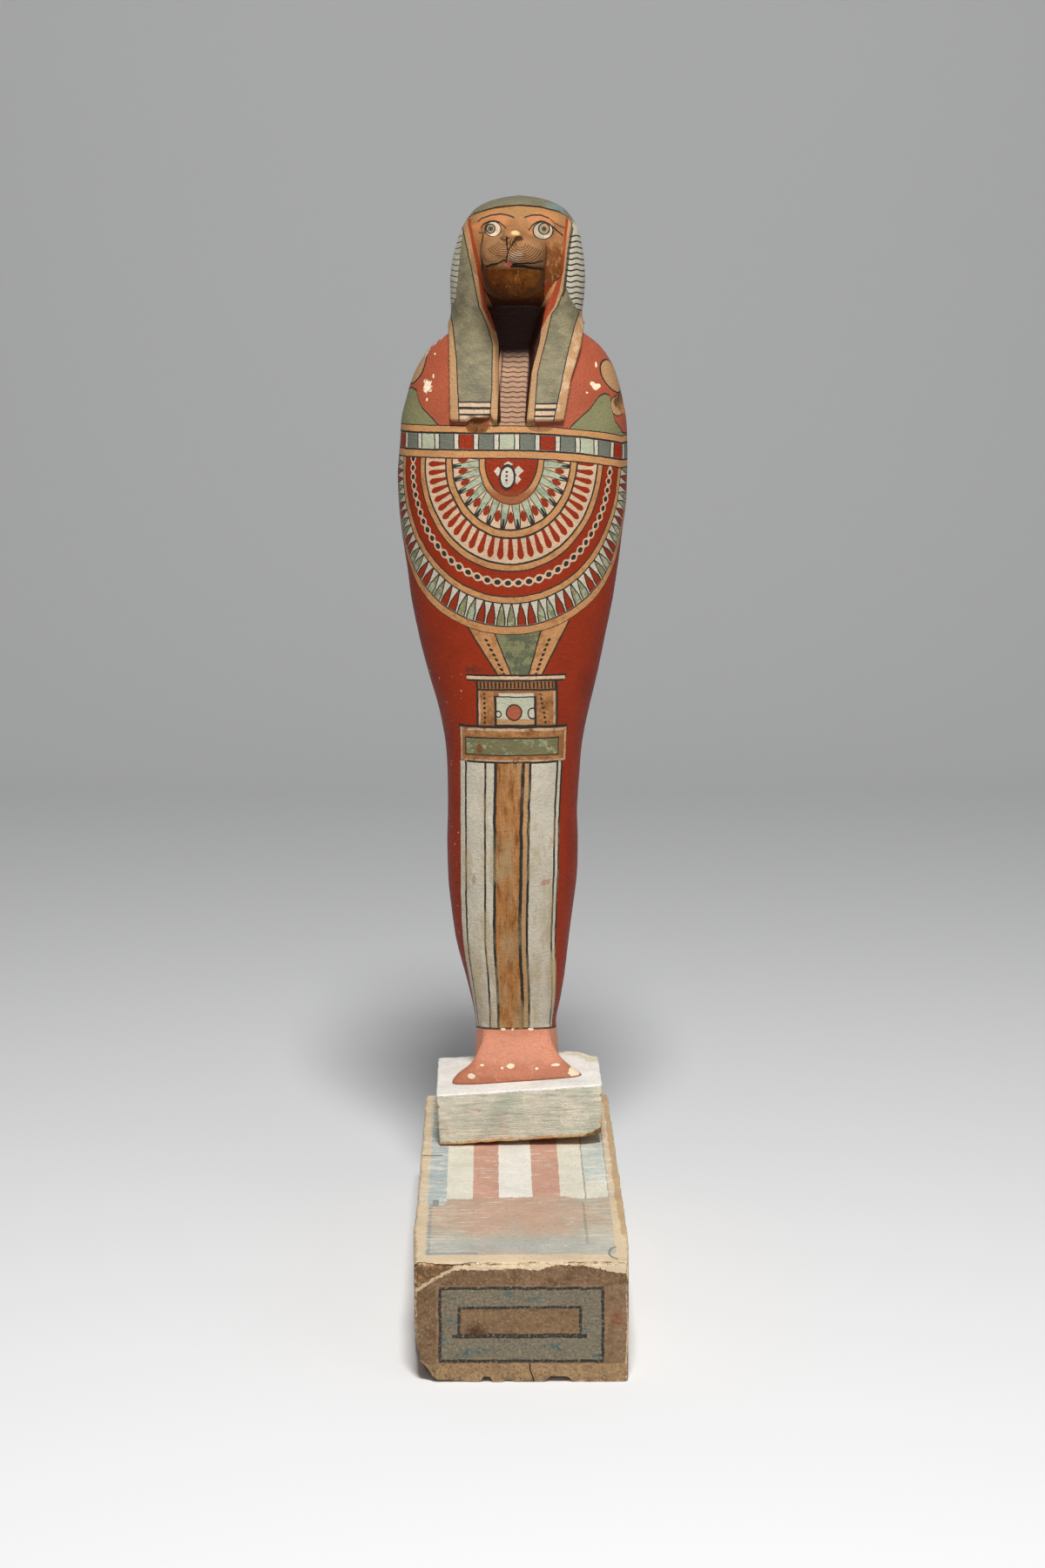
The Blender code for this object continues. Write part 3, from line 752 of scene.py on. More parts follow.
# The chest: a band of beads over a broad collar of petals, drops and beads in half rings.
COLLAR_MIDDLE = (-1.3, 452.0)
COLLAR_TALLER = 1.17
paint, around, height, front, around_back = on_the_body("chest_paint", RED)
out = around - COLLAR_MIDDLE[0]
down = COLLAR_MIDDLE[1] - height
ring = away(out, down / COLLAR_TALLER)
angle = paint.math("ARCTAN2", down, out) / math.tau
in_collar = (ring < 83.4) * (down > -2) * front
worn_ring = paint.cloud(6, 4, 0.7)
thin_rings = (abs(ring - 34.8) < 1.5).most(abs(ring - 51) < 1.3).most(abs(ring - 66.4) < 1.2)
thin_rings = thin_rings.most(abs(ring - 81.1) < 1.6)
paint.coats(
    in_collar,
    (paint.stripes(ring, 0, 84, [
        (0, MINT), (32.3, DARK), (33.3, ORANGE), (36.3, DARK), (37.3, CREAM), (48.7, DARK), (49.7, ORANGE),
        (52.3, DARK), (52.9, RED), (64.5, DARK), (65.2, ORANGE), (67.6, DARK), (68.5, WHITE), (78.8, DARK),
        (79.6, ORANGE), (82.7, DARK)]), 1),
    (DEEP_TAN, worn_ring.rise(0.5, 0.64) * thin_rings, 0.8))
# Outer row: pairs of green and of red buds, pointed towards the middle, each with a dark outline.
bud = angle * 98 + 0.1
bud_side = abs(bud.part() - 0.5)
bud_way = (ring - 69.2) / 10
bud_half = (bud_way * 1.6).least(1)**0.8 * 0.31
in_bud = bud_side < bud_half
paint.coats(
    ring.near(73.7, 5.3) * in_collar,
    (DARK, bud_side < bud_half + 0.13),
    (SAGE, in_bud),
    (MINT, in_bud * (worn_ring + (bud_way - 0.5) * 0.1).rise(0.52, 0.56), 0.75),
    (RED, in_bud * ((bud * 0.25).part() > 0.5)))
# Red row: a light chain whose rings hold dark beads. Light row: red strokes on the ring inside it.
bead_side = abs((angle * 73).part() - 0.5)
chain = ((0.5 - bead_side) * 3.2 + 0.9).least(2.1)
stroke_side = abs((angle * 58).part() - 0.5)
stroke_half = ((47.4 - ring) * 0.45).least(1).most(0)**0.5 * (0.1 + (ring - 33) * 0.019)
paint.coats(
    in_collar,
    (CREAM, abs(ring - 58.4) < chain),
    (DARK, away(bead_side * 4.2, ring - 58.4) < 1.25),
    (RED, (stroke_side < stroke_half) * (ring > 37.4)))
# Inner row: green teeth with red drops between them, and the dark gaps behind.
tooth_side = abs((angle * 28).part() - 0.5)
tooth_way = (ring - 19) / 13.6
drop = away((0.5 - tooth_side) * (5.4 - tooth_way * 2.6), (tooth_way - 0.6) * 4.2)
paint.coats(
    (ring < 32.6) * in_collar,
    ((120, 134, 108), worn_ring.rise(0.5, 0.56), 0.7),
    (CREAM, tooth_side > 0.43 - tooth_way * 0.3),
    (DARK, tooth_side.near(0.42 - tooth_way * 0.3, 0.04)),
    (DARK, (tooth_side < tooth_way * 0.13 - 0.02) * (tooth_way > 0.66)),
    (RED, drop < 0.85))
# Innermost: a red half disc in a light ring, with a white pendant and its petals on it.
disc = away(out / 17.7, down / 24.0)
pendant_out = around + 3.3
pendant_up = height - 442.6
pendant = away(pendant_out / 4.6, pendant_up / 7.2)
pendant_dots = abs(((pendant_up + 0.4) * 0.45).part() - 0.5) < 0.26
petals = [abs((pendant_out - middle) / wide) + abs((pendant_up - level) / tall) < 1
          for middle, level, wide, tall in ((-5.2, 3.2, 2.2, 2.6), (0.3, 7.2, 2.6, 1.6), (6.0, 3.6, 3.0, 2.8),
                                            (5.4, -1.0, 2.2, 2.6))]
paint.coats(
    in_collar,
    (paint.stripes(disc, 0, 1.1, [(0, RED), (0.8, DARK), (0.84, ORANGE), (0.99, DARK)]), disc < 1.03),
    ((130, 66, 36), (disc > 0.72) * down.rise(14, 19) * (disc < 1.03), 0.75),
    *((WHITE, petal) for petal in petals),
    (DARK, pendant < 1),
    (WHITE, pendant < 0.76),
    (DARK, pendant_dots * (abs(pendant_out + 0.3) < 0.6) * pendant_up.near(0.5, 4)))
# The band of beads runs right round, a little lower on the right.
right_drop = (((around + 5).most(0))**2 * 0.0013).least(6.5)
right_drop_behind = (around_back * (-6.5 / 70)).least(6.5).most(0)
level = height + paint.math("MULTIPLY_ADD", right_drop, front, right_drop_behind * (1 - front))
bead_at = paint.math("MULTIPLY_ADD", around, front, around_back * (1 - front))
bead_at = (bead_at + 4.2) / 11.3 + 0.5
bead_side = abs(bead_at.part() - 0.5)
kind = (bead_at * 0.25).part()
paint.coats(
    (level > 452.6) * (level < 471),
    (paint.stripes(level, 452, 472, [
        (452, DARK), (453.3, ORANGE), (456.9, DARK), (457.9, WHITE), (466.0, DARK), (467.2, ORANGE),
        (470.4, DARK)]), 1))
paint.coats(
    level.near(462, 4),
    (SLATE, bead_side < 0.345),
    (MINT, (bead_side < 0.345) * (kind < 0.25)),
    (RED, (bead_side < 0.345) * kind.near(0.625, 0.125)),
    (DARK, bead_side.near(0.375, 0.03)))
# Shoulders: a green mound on either side and discs above them, both with dark outlines.
above = (level > 471) * front
# Above the bead band the red is painted paler: partly the paint's own tone, partly painted light and sheen
# falling on the shoulders from above.
paint.coat(PALE_RED, level > 471, 0.85)
mound = paint.course(around, [
    (-90, 488), (-66, 490.9), (-60, 489.6), (-57.5, 484.5), (-54, 480), (-50.1, 477.3), (-45, 473),
    (-40, 468), (29, 466), (31.5, 470.3), (36, 474.3), (42.4, 479.3), (46, 483.5), (49.1, 486.8),
    (52.7, 488.1), (56.8, 486.8), (57.9, 480), (60.8, 472.5), (68, 466), (90, 464)])
for middle, centre, wide, tall, slant in ((-70, 503, 14, 10.4, 0), (62, 497, 11, 9.3, 0.55),
                                          (64.5, 481, 7.8, 5.6, 0)):
    disc = away((around + (height - centre) * slant - middle) / wide, (height - centre) / tall)
    paint.coats(above, (DARK, disc < 1.04), (TAN, disc < 0.94))
paint.coats(above, (DARK, height < mound + 0.4), (SAGE, height < mound - 0.5))
chips(paint, 2, 2.0, front, (
    (-51.2, 491.8, 3.2, 3.6), (-47.5, 497.5, 0.7, 1.2), (-50.8, 484.7, 0.7, 1), (-55.4, 514.9, 1.1, 1.6),
    (-52, 518, 1.2, 0.8), (-49, 509.5, 0.9, 0.8), (46.8, 491.9, 2.8, 1.7), (44.5, 493.3, 1.6, 1.5),
    (40.8, 488.6, 0.8, 0.5), (47, 503.7, 0.7, 1.4), (-60, 510, 1.5, 2.4)))
# The throat between the lappets: light, with thin wavy lines across and darker borders; its top, under the
# chin, is painted dark as the chin's shadow.
throat = abs(around + 1.2)
throat_edge = abs(around + 1.2 - (height - 473) * 0.03)
throat_lines = ((height + (around * 1.1).wave() * 0.25) / 2.73).part()
paint.coats(
    (throat < 12.5) * above,
    (THROAT, 1),
    (THROAT_LINE, throat_lines < 0.27),
    (THROAT_LINE, throat_edge.near(7.4, 0.55), 0.8),
    (TAN, throat_edge > 8.0),
    (PAINTED_CHIN_SHADOW, height.rise(507, 512)))
# Bare wood under the left lappet, where its end has come off, a brown smear under the right one, and bare
# wood in the bite at the right shoulder. The patches under the lappets are also painted shadow of the
# lappets' ends.
wood_grain = paint.cloud(2, 4, 0.7, (1, 1, 0.3))
for oval, strength in (((-20.5, 470.6, 7.6, 4.4), 0.95), ((14, 469.5, 8, 2.2), 0.6)):
    paint.coats(
        paint.blot(oval, wood_grain * 0.9, 1.4, 1.25) * front,
        ((112, 66, 30), 1, strength),
        ((64, 34, 16), wood_grain.rise(0.5, 0.62), strength))
bite = paint.mark("bitten")
paint.coat((178, 130, 80), bite.rise(0.25, 0.4))
paint.coat((104, 70, 42), bite.rise(0.3, 0.6) * wood_grain.rise(0.44, 0.56))
# The hanging counterweight under the collar: green between two dotted bands that draw together.
lower = (358 - height) / 26
side = abs(around - 2.6 - lower * 1.1)
outer = 28.1 - lower * 14.9
inner = 13.4 - lower * 8.8
dot = away(side - (outer + inner) * 0.5, ((height * 0.36).part() - 0.5) * 2.8)
paint.coats(
    (ring > 83.4) * (height > 332) * (height < 362) * front,
    (DARK, side < outer),
    (ORANGE, side < outer - 1.1),
    (DARK, side < inner + 0.8),
    (SAGE, side < inner),
    ((78, 84, 64), (side < inner) * (worn_ring + lower * 0.08).rise(0.5, 0.58), 0.8),
    (DEEP_TAN, (side > inner + 0.8) * (side < outer - 1.1) * worn_ring.rise(0.5, 0.6), 0.7),
    (DARK, (dot < 0.95) * (height < 353)))
paint.coat(DARK, paint.blot((-23, 334.6, 7, 2.8), wood_grain * 2.6, 2.1, 1.6) * front, 0.65)
flake(paint, 9, 0.735, above)
chest_paint = weather(paint)

# The legs: a shrine on a green panel, and below it long light and ochre columns between dark lines.
paint, around, height, front, _ = on_the_body("legs_paint", RED)
mottled = paint.cloud(5, 4, 0.7)


def framed(*frames):
    """1 inside these rectangles on the front: left, right, low and high, in millimetres."""
    first, *others = [around.near((left + right) / 2, (right - left) / 2)
                      * height.near((low + high) / 2, (high - low) / 2) * front
                      for left, right, low, high in frames]
    for mask in others:
        first = first.most(mask)
    return first


for colour, *sides in (
        (DARK, -33, 31.5, 294.2, 302.7), (JAMB_TAN, -32.4, 31, 281.6, 301.2), (DARK, -29, 26, 294.8, 295.6),
        (DARK, -29.2, 25.9, 285.2, 295.2), ((110, 104, 72), -28.6, 25.3, 285.8, 294.9),
        (DARK, -27.4, 30.6, 330.4, 332), (CREAM, -27, 29.6, 328.8, 330.8), (DARK, -27, 29, 327.8, 329),
        (DARK, -21.6, 25.2, 301, 328), (JAMB_TAN, -20.2, 23.2, 323.6, 327.8),
        (JAMB_TAN, -20.4, 24, 302.6, 322.6), (DARK, -11.3, 12.6, 302.6, 319.6),
        (WHITE, -8.5, 11.2, 319.4, 321.2), (SHRINE_WHITE, -9.9, 11.2, 303.2, 318.7),
        (TAN, -9.9, 11.2, 303.2, 306.4)):
    paint.coat(colour, framed(sides))
paint.coat(DARK, ((around / 2.16).part() < 0.46) * framed((-20.2, 23.2, 323.8, 327.6)))
for middle, centre, outline, inside, colour in (
        (-0.2, 310.2, 4.6, 3.8, PALE_RED), (-9, 309.3, 1.9, 1.2, WHITE), (10.4, 309.6, 3.1, 2.3, WHITE)):
    sun = away(around - middle, (height - centre) * 0.93)
    paint.coats(framed((-9.9, 11.2, 303.2, 318.7)), (DARK, sun < outline), (colour, sun < inside))
on_tan = framed((-19.6, -11.6, 303, 322), (12.8, 23.2, 303, 322), (-32, 30.6, 296.2, 300.8),
                (-31, 30, 282, 284.6))
on_edges = framed((-32.2, -30.9, 282, 300.6), (29.6, 30.9, 282, 300.6), (-32, 30.8, 299.4, 300.9),
                  (22.4, 23.6, 303, 322), (-20.2, -19.2, 303, 322), (-31, 30, 281.8, 282.8))
dots = [away(around - edge - (height - 312) * leaning, ((height / 2.73).part() - 0.5) * 2.73) < 0.75
        for edge, leaning in ((-16.8, 0.0), (16.4, -0.17))]
paint.coats(
    EVERYWHERE,
    (ORANGE, mottled.rise(0.46, 0.6) * on_tan, 0.6),
    ((104, 60, 30), mottled.rise(0.44, 0.36) * on_tan, 0.7),
    ((150, 156, 118), mottled.rise(0.52, 0.6) * framed((-28, 25, 286, 294.6)), 0.8),
    (DARK, dots[0].most(dots[1]) * height.near(312.3, 8.6) * front),
    (CREAM, on_edges * mottled.rise(0.36, 0.5), 0.75),
    ((120, 74, 40), (away(around + 20, (height - 289) * 0.6) < 1.7) * front))
# The columns widen upwards and end at the ankle, in a line that curves down at the sides.
lower = (281 - height) / 153
column = (around + lower * 0.8) / (1 - lower * 0.1)
ankle = 123.6 - around**2 * 0.003
columns = (height < 281.4) * (height > ankle) * column.near(-2.2, 31.1) * front
worn_ochre = paint.cloud(3.2, 5, 0.75, (1, 1, 0.2))
dirt = paint.cloud(9, 4, 0.7, (1, 1, 0.3)) + lower * 0.12
paint.coat(paint.stripes(column, -34, 30, [
    (-34, DARK), (-33.0, WHITE), (-29.7, DARK), (-28.4, WHITE), (-17.0, DARK), (-15.8, WHITE),
    (-11.5, DARK), (-9.9, OCHRE), (4.0, DARK), (6.0, TAN), (8.5, DARK), (10.0, WHITE), (24.6, DARK),
    (25.8, WHITE), (27.6, DARK)]), columns)
paint.coat(DARK, framed((-28, 26, 280.8, 282)))
paint.coats(
    columns,
    (TAN, worn_ochre.rise(0.5, 0.6) * column.near(-2.8, 7), 0.75),
    ((116, 68, 28), worn_ochre.rise(0.47, 0.38) * column.near(-2.8, 7), 0.8),
    ((160, 140, 104), dirt.rise(0.55, 0.7) * (column < 29), 0.55))
paint.coat(DARK, (abs(height - ankle) < 0.6) * mottled.rise(0.4, 0.46), 0.85)
paint.coat(PINK, height < ankle - 0.5)
for middle, wide in ((-7.6, 1.5), (8.6, 1.7), (-2.0, 0.8)):
    paint.coat(GESSO, paint.spot(middle, 123.0, wide, 0.8) < 1)
for colour, *oval in (((164, 104, 76), 18.8, 211.3, 3.4, 3.0), ((150, 120, 86), -22.7, 212, 1.2, 4),
                      ((176, 158, 120), 24, 150, 5, 22), ((176, 156, 120), -24, 150, 4, 20)):
    paint.coat(colour, paint.blot(oval, mottled * 2, 2.0, 1.6) * columns, 0.6)
flake(paint, 3.2, 0.68, (around < -25) * (height > 135) * front)
scraped = paint.cloud(3.2, 4, 0.7, (1, 1, 0.3)).rise(0.6, 0.64)
scraped = scraped * (column < -33.5) * (around > -48) * height.near(178, 32) * front
paint.coat((52, 22, 14), scraped, 0.85)
# Darker maroon on the sides of the legs: partly blotches in the paint, partly painted shade where the sides
# turn away from the light.
paint.coat((96, 26, 8), paint.cloud(30, 4, 0.6).rise(0.5, 0.7) * (abs(around) > 33) * (height > ankle), 0.4)
flake(paint, 9, 0.76)
legs_paint = weather(paint)

# The feet: pink, with flakes lost along the ankle and over the toes.
paint, _, height, front, _ = on_the_body("feet_paint", PINK)
fine = paint.cloud(5, 4, 0.65)
# Darker and redder over the fronts of the toes: partly the paint, partly painted shade on those steep faces.
paint.coat((178, 108, 79), (height + fine * 9).rise(112, 108) * front, 0.75)
paint.coat((204, 140, 110), fine.rise(0.56, 0.66), 0.6)
chips(paint, 1.2, 1.6, front, (
    (-26.2, 99.1, 2.4, 1.6), (-3.7, 104.4, 2.2, 1.3), (-8.7, 103.2, 0.9, 0.6), (-20.2, 104.7, 1.2, 0.5),
    (11.3, 103.1, 1.1, 0.6), (22.5, 104.6, 2.7, 0.7), (34, 101, 4.6, 2.2)))
feet_paint = weather(paint)

LEGS_TOP = 332.4
LEGS_FOOT = 119.5
for material in (chest_paint, legs_paint, feet_paint):
    body.data.materials.append(material)
centres = np.zeros(len(body.data.polygons) * 3)
body.data.polygons.foreach_get("center", centres)
centre_height = centres[2::3] * 1000
body.data.polygons.foreach_set("material_index", np.where(
    centre_height > LEGS_TOP, 0, np.where(centre_height > LEGS_FOOT, 1, 2)).astype(np.int32))
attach(body, "root")
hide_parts("figure")

# The wig, carved with the body: it stands a little proud of face and chest, comes down in front in
# two lappets and behind in a flap, and is open in front for the face and the throat.
# Its outlines are seen from the front, across and up, in thousandths of the figure's height.
WIG_RELIEF = 8
WIG_SINK = 5
WIG_SECTIONS = [
    (817, -115, 113, -69, 81), (837, -98, 97, -67, 83), (851, -82, 82, -67, 84),
    (864, -75, 75, -67, 85), (889, -74, 76, -68, 85), (909, -74, 77, -69, 85),
    (927, -72, 76, -69, 83), (947, -67, 73, -67, 79), (964, -61, 69, -62, 72),
    (977, -53, 61, -55, 63), (985, -46, 54, -48, 55), (992, -34, 42, -37, 43),
    (997, -18, 26, -21, 25), (1000, 3, 5, -1, 1)]
FACE_OPENING = [
    (10, 650), (10, 754), (18, 834), (34, 879), (46, 928), (57, 970), (50, 979), (28, 986),
    (3, 988), (-25, 985), (-48, 978), (-54, 970), (-44, 928), (-34, 879), (-24, 834), (-20, 754),
    (-20, 650)]
LAPPETS = [
    (-76, 754), (-56, 754), (-52, 759), (-43, 756), (-31, 760), (-27, 754), (53, 754), (61.5, 800),
    (72.5, 834), (79, 870), (170, 871), (170, 1100), (-170, 1100), (-170, 871), (-79, 870), (-77, 834)]
BACK_FLAP = [
    (-66, 716), (66, 716), (76, 834), (79, 870), (170, 871), (170, 1100), (-170, 1100),
    (-170, 871), (-79, 870), (-77, 834)]


def within_outline(x, height, outline):
    """Distance to the nearest side of an outline seen from the front; less than nothing outside."""
    start = np.array(outline, float)
    side = np.roll(start, -1, axis=0) - start
    nearest = np.full(x.shape, 1e9)
    inside = np.zeros(x.shape, bool)
    for (x0, h0), (dx, dh) in zip(start, side):
        along = np.clip(((x - x0) * dx + (height - h0) * dh) / (dx * dx + dh * dh), 0, 1)
        nearest = np.minimum(nearest, np.hypot(x - x0 - along * dx, height - h0 - along * dh))
        crosses = (height >= h0) != (height >= h0 + dh)
        if dh:
            inside ^= crosses & (x < x0 + (height - h0) * dx / dh)
    return np.where(inside, nearest, -nearest)


WIG_ROWS = 236
WIG_COLUMNS = 400
chest_levels = np.array([690.0, 717, 747, 777, 797])
on_chest = section_at(BODY_SECTIONS, chest_levels).T + np.array([-1, 1, -1, 1]) * WIG_RELIEF
table = np.concatenate([np.column_stack([chest_levels, on_chest]), WIG_SECTIONS])
profile_step = np.hypot(np.diff(table[:, 0]), np.diff(table[:, 3]))
walk = np.concatenate([[0], np.cumsum(profile_step)])
sections = through(table, walk, np.linspace(0, walk[-1], WIG_ROWS))
rows, _, reach, way = loft(sections.T, front_to_back(WIG_COLUMNS, 0.92))
x, y, height = np.moveaxis(rows, -1, 0)
kept = np.where(y < 0, within_outline(x, height, LAPPETS), within_outline(x, height, BACK_FLAP))
kept = np.where(y < -20, np.minimum(kept, -within_outline(x, height, FACE_OPENING)), kept)
sunk = (WIG_RELIEF + WIG_SINK) * (1 - ease(-2.2, 1.6, kept))
rows[..., :2] -= way * np.minimum(sunk, reach - 1)[..., None]
wig = close_skin("painted_wig", rows * THOUSANDTH + FIGURE_FOOT)

WIG_GREEN = (134, 124, 96)
SKIN = (164, 118, 76)
EDGE_RED = (152, 64, 34)
STRIPE_WHITE = (194, 186, 164)


def on_the_head(name, ground):
    """A finish, and its distance across, height and depth; the first two are unsteady."""
    finish = Finish(name, ground)
    x, y, z = finish.parts(finish.place)
    stray_across, stray_up = finish.stray(5, 0.3)
    finish.across, finish.up = x + stray_across, z + stray_up
    return finish, finish.across, finish.up, y


def paint_round_face(finish, across, height, y):
    """The wig's sides, and round the face a tan and a red stripe inside a dark line.

    What it returns is 1 on the skin inside them.
    """
    def between(left, right):
        return (across - finish.course(height, left)).least(finish.course(height, right) - across)
    forward = y < 96
    sides = finish.course(height, [(532, -38), (540, -33.9), (553, -32.4), (565, -31.2), (578, -29.6)])
    right_side = finish.course(height, [(531, 36), (534, 33.5), (541, 29.2), (547, 27.1), (553, 26.7),
                                        (566, 27.9), (580, 30.4)])
    panel = (across < sides).most(across > right_side) * (height > 532) * (y < 124)
    panel = panel * (height + (across > 0) * -3).rise(580, 577)
    lines = ((height + (across * 0.9).wave() * 0.35) / 3.1).part()
    hair = finish.course(across, [(-31, 579), (-28.5, 582.5), (-23.5, 585.6), (-15.7, 588.3), (-6, 590.1),
                                  (3.4, 590.1), (13, 589.2), (22.7, 587.3), (28.6, 583.9), (30.6, 581)])
    edges = between(
        [(472, -14.8), (492, -13.6), (516, -13.2), (524, -15.6), (531.5, -18.6), (535, -20.4),
         (555, -24.4), (577, -29.3), (591, -31.2)],
        [(472, 8.9), (500, 11.0), (516, 15.2), (531.5, 18.9), (535.5, 22), (544, 25.4), (553, 26.4),
         (566, 27.8), (580, 30.2), (591, 32)])
    reach = edges.least((hair - height) * 1.2)
    # On the right the dark line round the face is drawn wider: there it is painted shadow along the wig's
    # raised edge as well as a line.
    thick = (across > 20) * height.near(560, 19) * 0.8 + 0.7
    reds = between(
        [(522, -12.4), (531.5, -17.2), (535, -19), (555, -21.9), (580, -26.9), (591, -28)],
        [(522, 12.8), (531, 17.4), (536, 20.8), (544, 23.3), (553, 25.2), (580, 28.2), (591, 29.5)])
    inside = between(
        [(472, -11), (492, -10.1), (516, -10.1), (524, -12), (531.5, -14.6), (535, -16.4), (553, -18.9),
         (580, -25.2), (591, -26.5)],
        [(472, 5.1), (500, 8.1), (516, 12.4), (524, 13.6), (531, 14.8), (537, 16.3), (544, 19.8),
         (553, 24.0), (580, 26.7), (591, 28)])
    skin = (inside.least(hair - height) > 0) * (reach > 0) * forward
    finish.coat(STRIPE_WHITE, panel)
    finish.coat(DARK, (lines < (across > 0) * 0.1 + 0.17) * panel * (height < 576))
    finish.coats(
        forward,
        (DARK, reach + thick > 0, 0.85),
        (TAN, reach > 0),
        (EDGE_RED, (reds * (height > 522) > 0) * (reach > 0.4)))
    # Below the chin the skin is painted dark: painted shadow of the chin.
    finish.coats(skin, (SKIN, 1), (PAINTED_CHIN_SHADOW, height.rise(540, 535)))
    return skin


paint, across, height, y = on_the_head("wig_paint", WIG_GREEN)
crown = paint.cloud(5, 4, 0.6, (0.35, 1, 1))
blue = paint.blot((21, 588, 9, 5), crown, 1.6, 0.9)
paint.coats(
    EVERYWHERE,
    ((98, 94, 76), crown.rise(0.42, 0.64), 0.7),
    ((104, 128, 124), blue * (y < 110), 0.8),
    ((104, 98, 78), height.rise(576, 590) * (1 - blue), 0.75))
# Lappets in front and the flap behind: green between tan strips, with light bands at the lower end.
behind = y > 98
before = y < 98
lower_end = height + behind * 19.5 + (across > 0) * before * 0.9
paint.coat(paint.stripes(lower_end, 470, 486, [
    (470, CREAM), (476.4, DARK), (477.5, CREAM), (479.7, DARK), (481.2, CREAM), (483.3, DARK)]),
    (lower_end < 484.2) * (lower_end > 440))
paint_round_face(paint, across, height, y)
outer_left = paint.course(height, [(472, -32.2), (492, -33), (508, -33.7), (524, -35.7), (534, -37.6)])
outer_right = paint.course(height, [(472, 20.1), (492, 24.4), (508, 27.8), (524, 32), (532, 35)])
outer = (outer_left - across).most(across - outer_right) * (height < 533) + (height > 533) * -9
outer = outer + behind * -99
back_strip = abs(across) - paint.course(height, [(454, 27), (517, 33), (535, 34.5)]) + before * -99
back_strip = back_strip + (height > 535) * -99
lost_end = paint.spot(-20.5, 472.8, 7.5, 2.6) + crown * 0.6 < 1.25
paint.coats(
    EVERYWHERE,
    (DARK, outer > -0.6),
    (TAN, outer > 0),
    (GESSO, (outer > 0) * (across > 0) * paint.cloud(7, 4).rise(0.5, 0.6), 0.25),
    (DARK, back_strip > -0.6),
    (TAN, back_strip > 0),
    ((120, 72, 34), lost_end * before))
flake(paint, 6, 0.755, height < 560)
wig.data.materials.append(weather(paint))
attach(wig, "root")
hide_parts("figure")

# The face: a baboon's, with a long blunt muzzle. It is carved as one with the rest, and painted.
# Forms along the muzzle are cut across it: distance in front of the axis, half width, low, high.
# Swellings are added and the hollows before the eyes taken away; each is an egg, given by its
# middle and its half sizes across, forward and up.
HEAD_TURN = math.radians(-2.8)
FACE_SECTIONS = [
    (815, -44, 44, -46, 40), (850, -52, 52, -48, 40), (872, -60, 60, -52, 40),
    (895, -65, 67, -61, 40), (930, -67, 71, -65, 40), (955, -62, 68, -62, 40),
    (970, -55, 63, -56, 40), (982, -45, 53, -47, 36), (988, -36, 43, -40, 30)]
UPPER_MUZZLE = [
    (40, 35, 917, 958), (66, 36, 918, 958), (90, 35, 919, 956), (110, 33, 920, 953),
    (122, 29, 922, 951), (129, 21, 926, 947), (132, 10, 932, 941)]
NOSE_BRIDGE = [
    (40, 15, 930, 966), (70, 14, 930, 965), (95, 12, 932, 961), (114, 11, 936, 959),
    (125, 10, 940, 960), (131, 8, 943, 958), (134, 4, 947, 954)]
LOWER_JAW = [
    (30, 31, 885, 942), (66, 33, 885, 942), (90, 33, 885, 941), (104, 32, 886, 940),
    (114, 30, 889, 938), (121, 25, 895, 935), (125, 15, 903, 928)]
MUZZLE_SQUARENESS = 2.6
MOUTH_DEPTH = 1.3
SWELLINGS = [
    (-29, 50, 925, 19, 17, 27), (34, 49, 924, 21, 17, 29), (-14, 118, 934, 15, 13, 12),
    (14, 118, 934, 15, 13, 12), (-24, 53, 963, 12, 7, 11), (33, 52, 962, 12, 7, 11)]
HOLLOWS = [(-21, 78, 959, 10, 17, 8), (27, 78, 959, 10, 17, 8)]


def outside_egg(place, egg):
    """How far a place lies outside an egg, about."""
    middle, reach = np.reshape(egg, (2, 3))
    return (np.linalg.norm((place - middle) / reach, axis=-1) - 1) * reach.min()


def outside_muzzle(place, stations):
    """How far a place lies outside a form that is cut across the muzzle."""
    across, forward, height = np.moveaxis(place, -1, 0)
    table = np.array(stations, float)
    at = np.clip(forward, table[0, 0], table[-1, 0])
    _, half, low, high = np.moveaxis(through(table, table[:, 0], at), -1, 0)
    tall = (high - low) / 2
    size = rounded(across / half, (height - low - tall) / tall, MUZZLE_SQUARENESS)
    beyond = np.maximum(forward - table[-1, 0], table[0, 0] - forward)
    return np.maximum((size - 1) * np.minimum(half, tall), beyond)


def outside_face(points):
    """The face, muzzle, jaw, nose and swellings as one form with soft fillets, less the hollows."""
    x, y, height = np.moveaxis(points, -1, 0)
    c, s = math.cos(HEAD_TURN), math.sin(HEAD_TURN)
    across, forward = c * x + s * y, -(c * y - s * x)
    place = np.stack([across, forward, height], -1)
    face = outside_section(x, y, section_at(FACE_SECTIONS, height), SECTION_SQUARENESS)
    face = np.maximum(face, np.maximum(FACE_SECTIONS[0][0] - height, height - FACE_SECTIONS[-1][0]))
    for swelling in SWELLINGS:
        face = joined(face, outside_egg(place, swelling), 3)
    muzzle = joined(outside_muzzle(place, UPPER_MUZZLE), outside_muzzle(place, NOSE_BRIDGE), 5)
    muzzle = joined(muzzle, outside_muzzle(place, LOWER_JAW), 4)
    mouth = np.interp(across, (-36, -22, -13, -6, 6, 18, 32), (922, 922.5, 925, 924, 922.5, 920, 918.5))
    muzzle = muzzle + MOUTH_DEPTH * np.exp(-((height - mouth) / 2.0)**2) * ease(60, 75, forward)
    head = joined(face, muzzle, 8)
    for hollow in HOLLOWS:
        head = -joined(-head, outside_egg(place, hollow), 2)
    return head


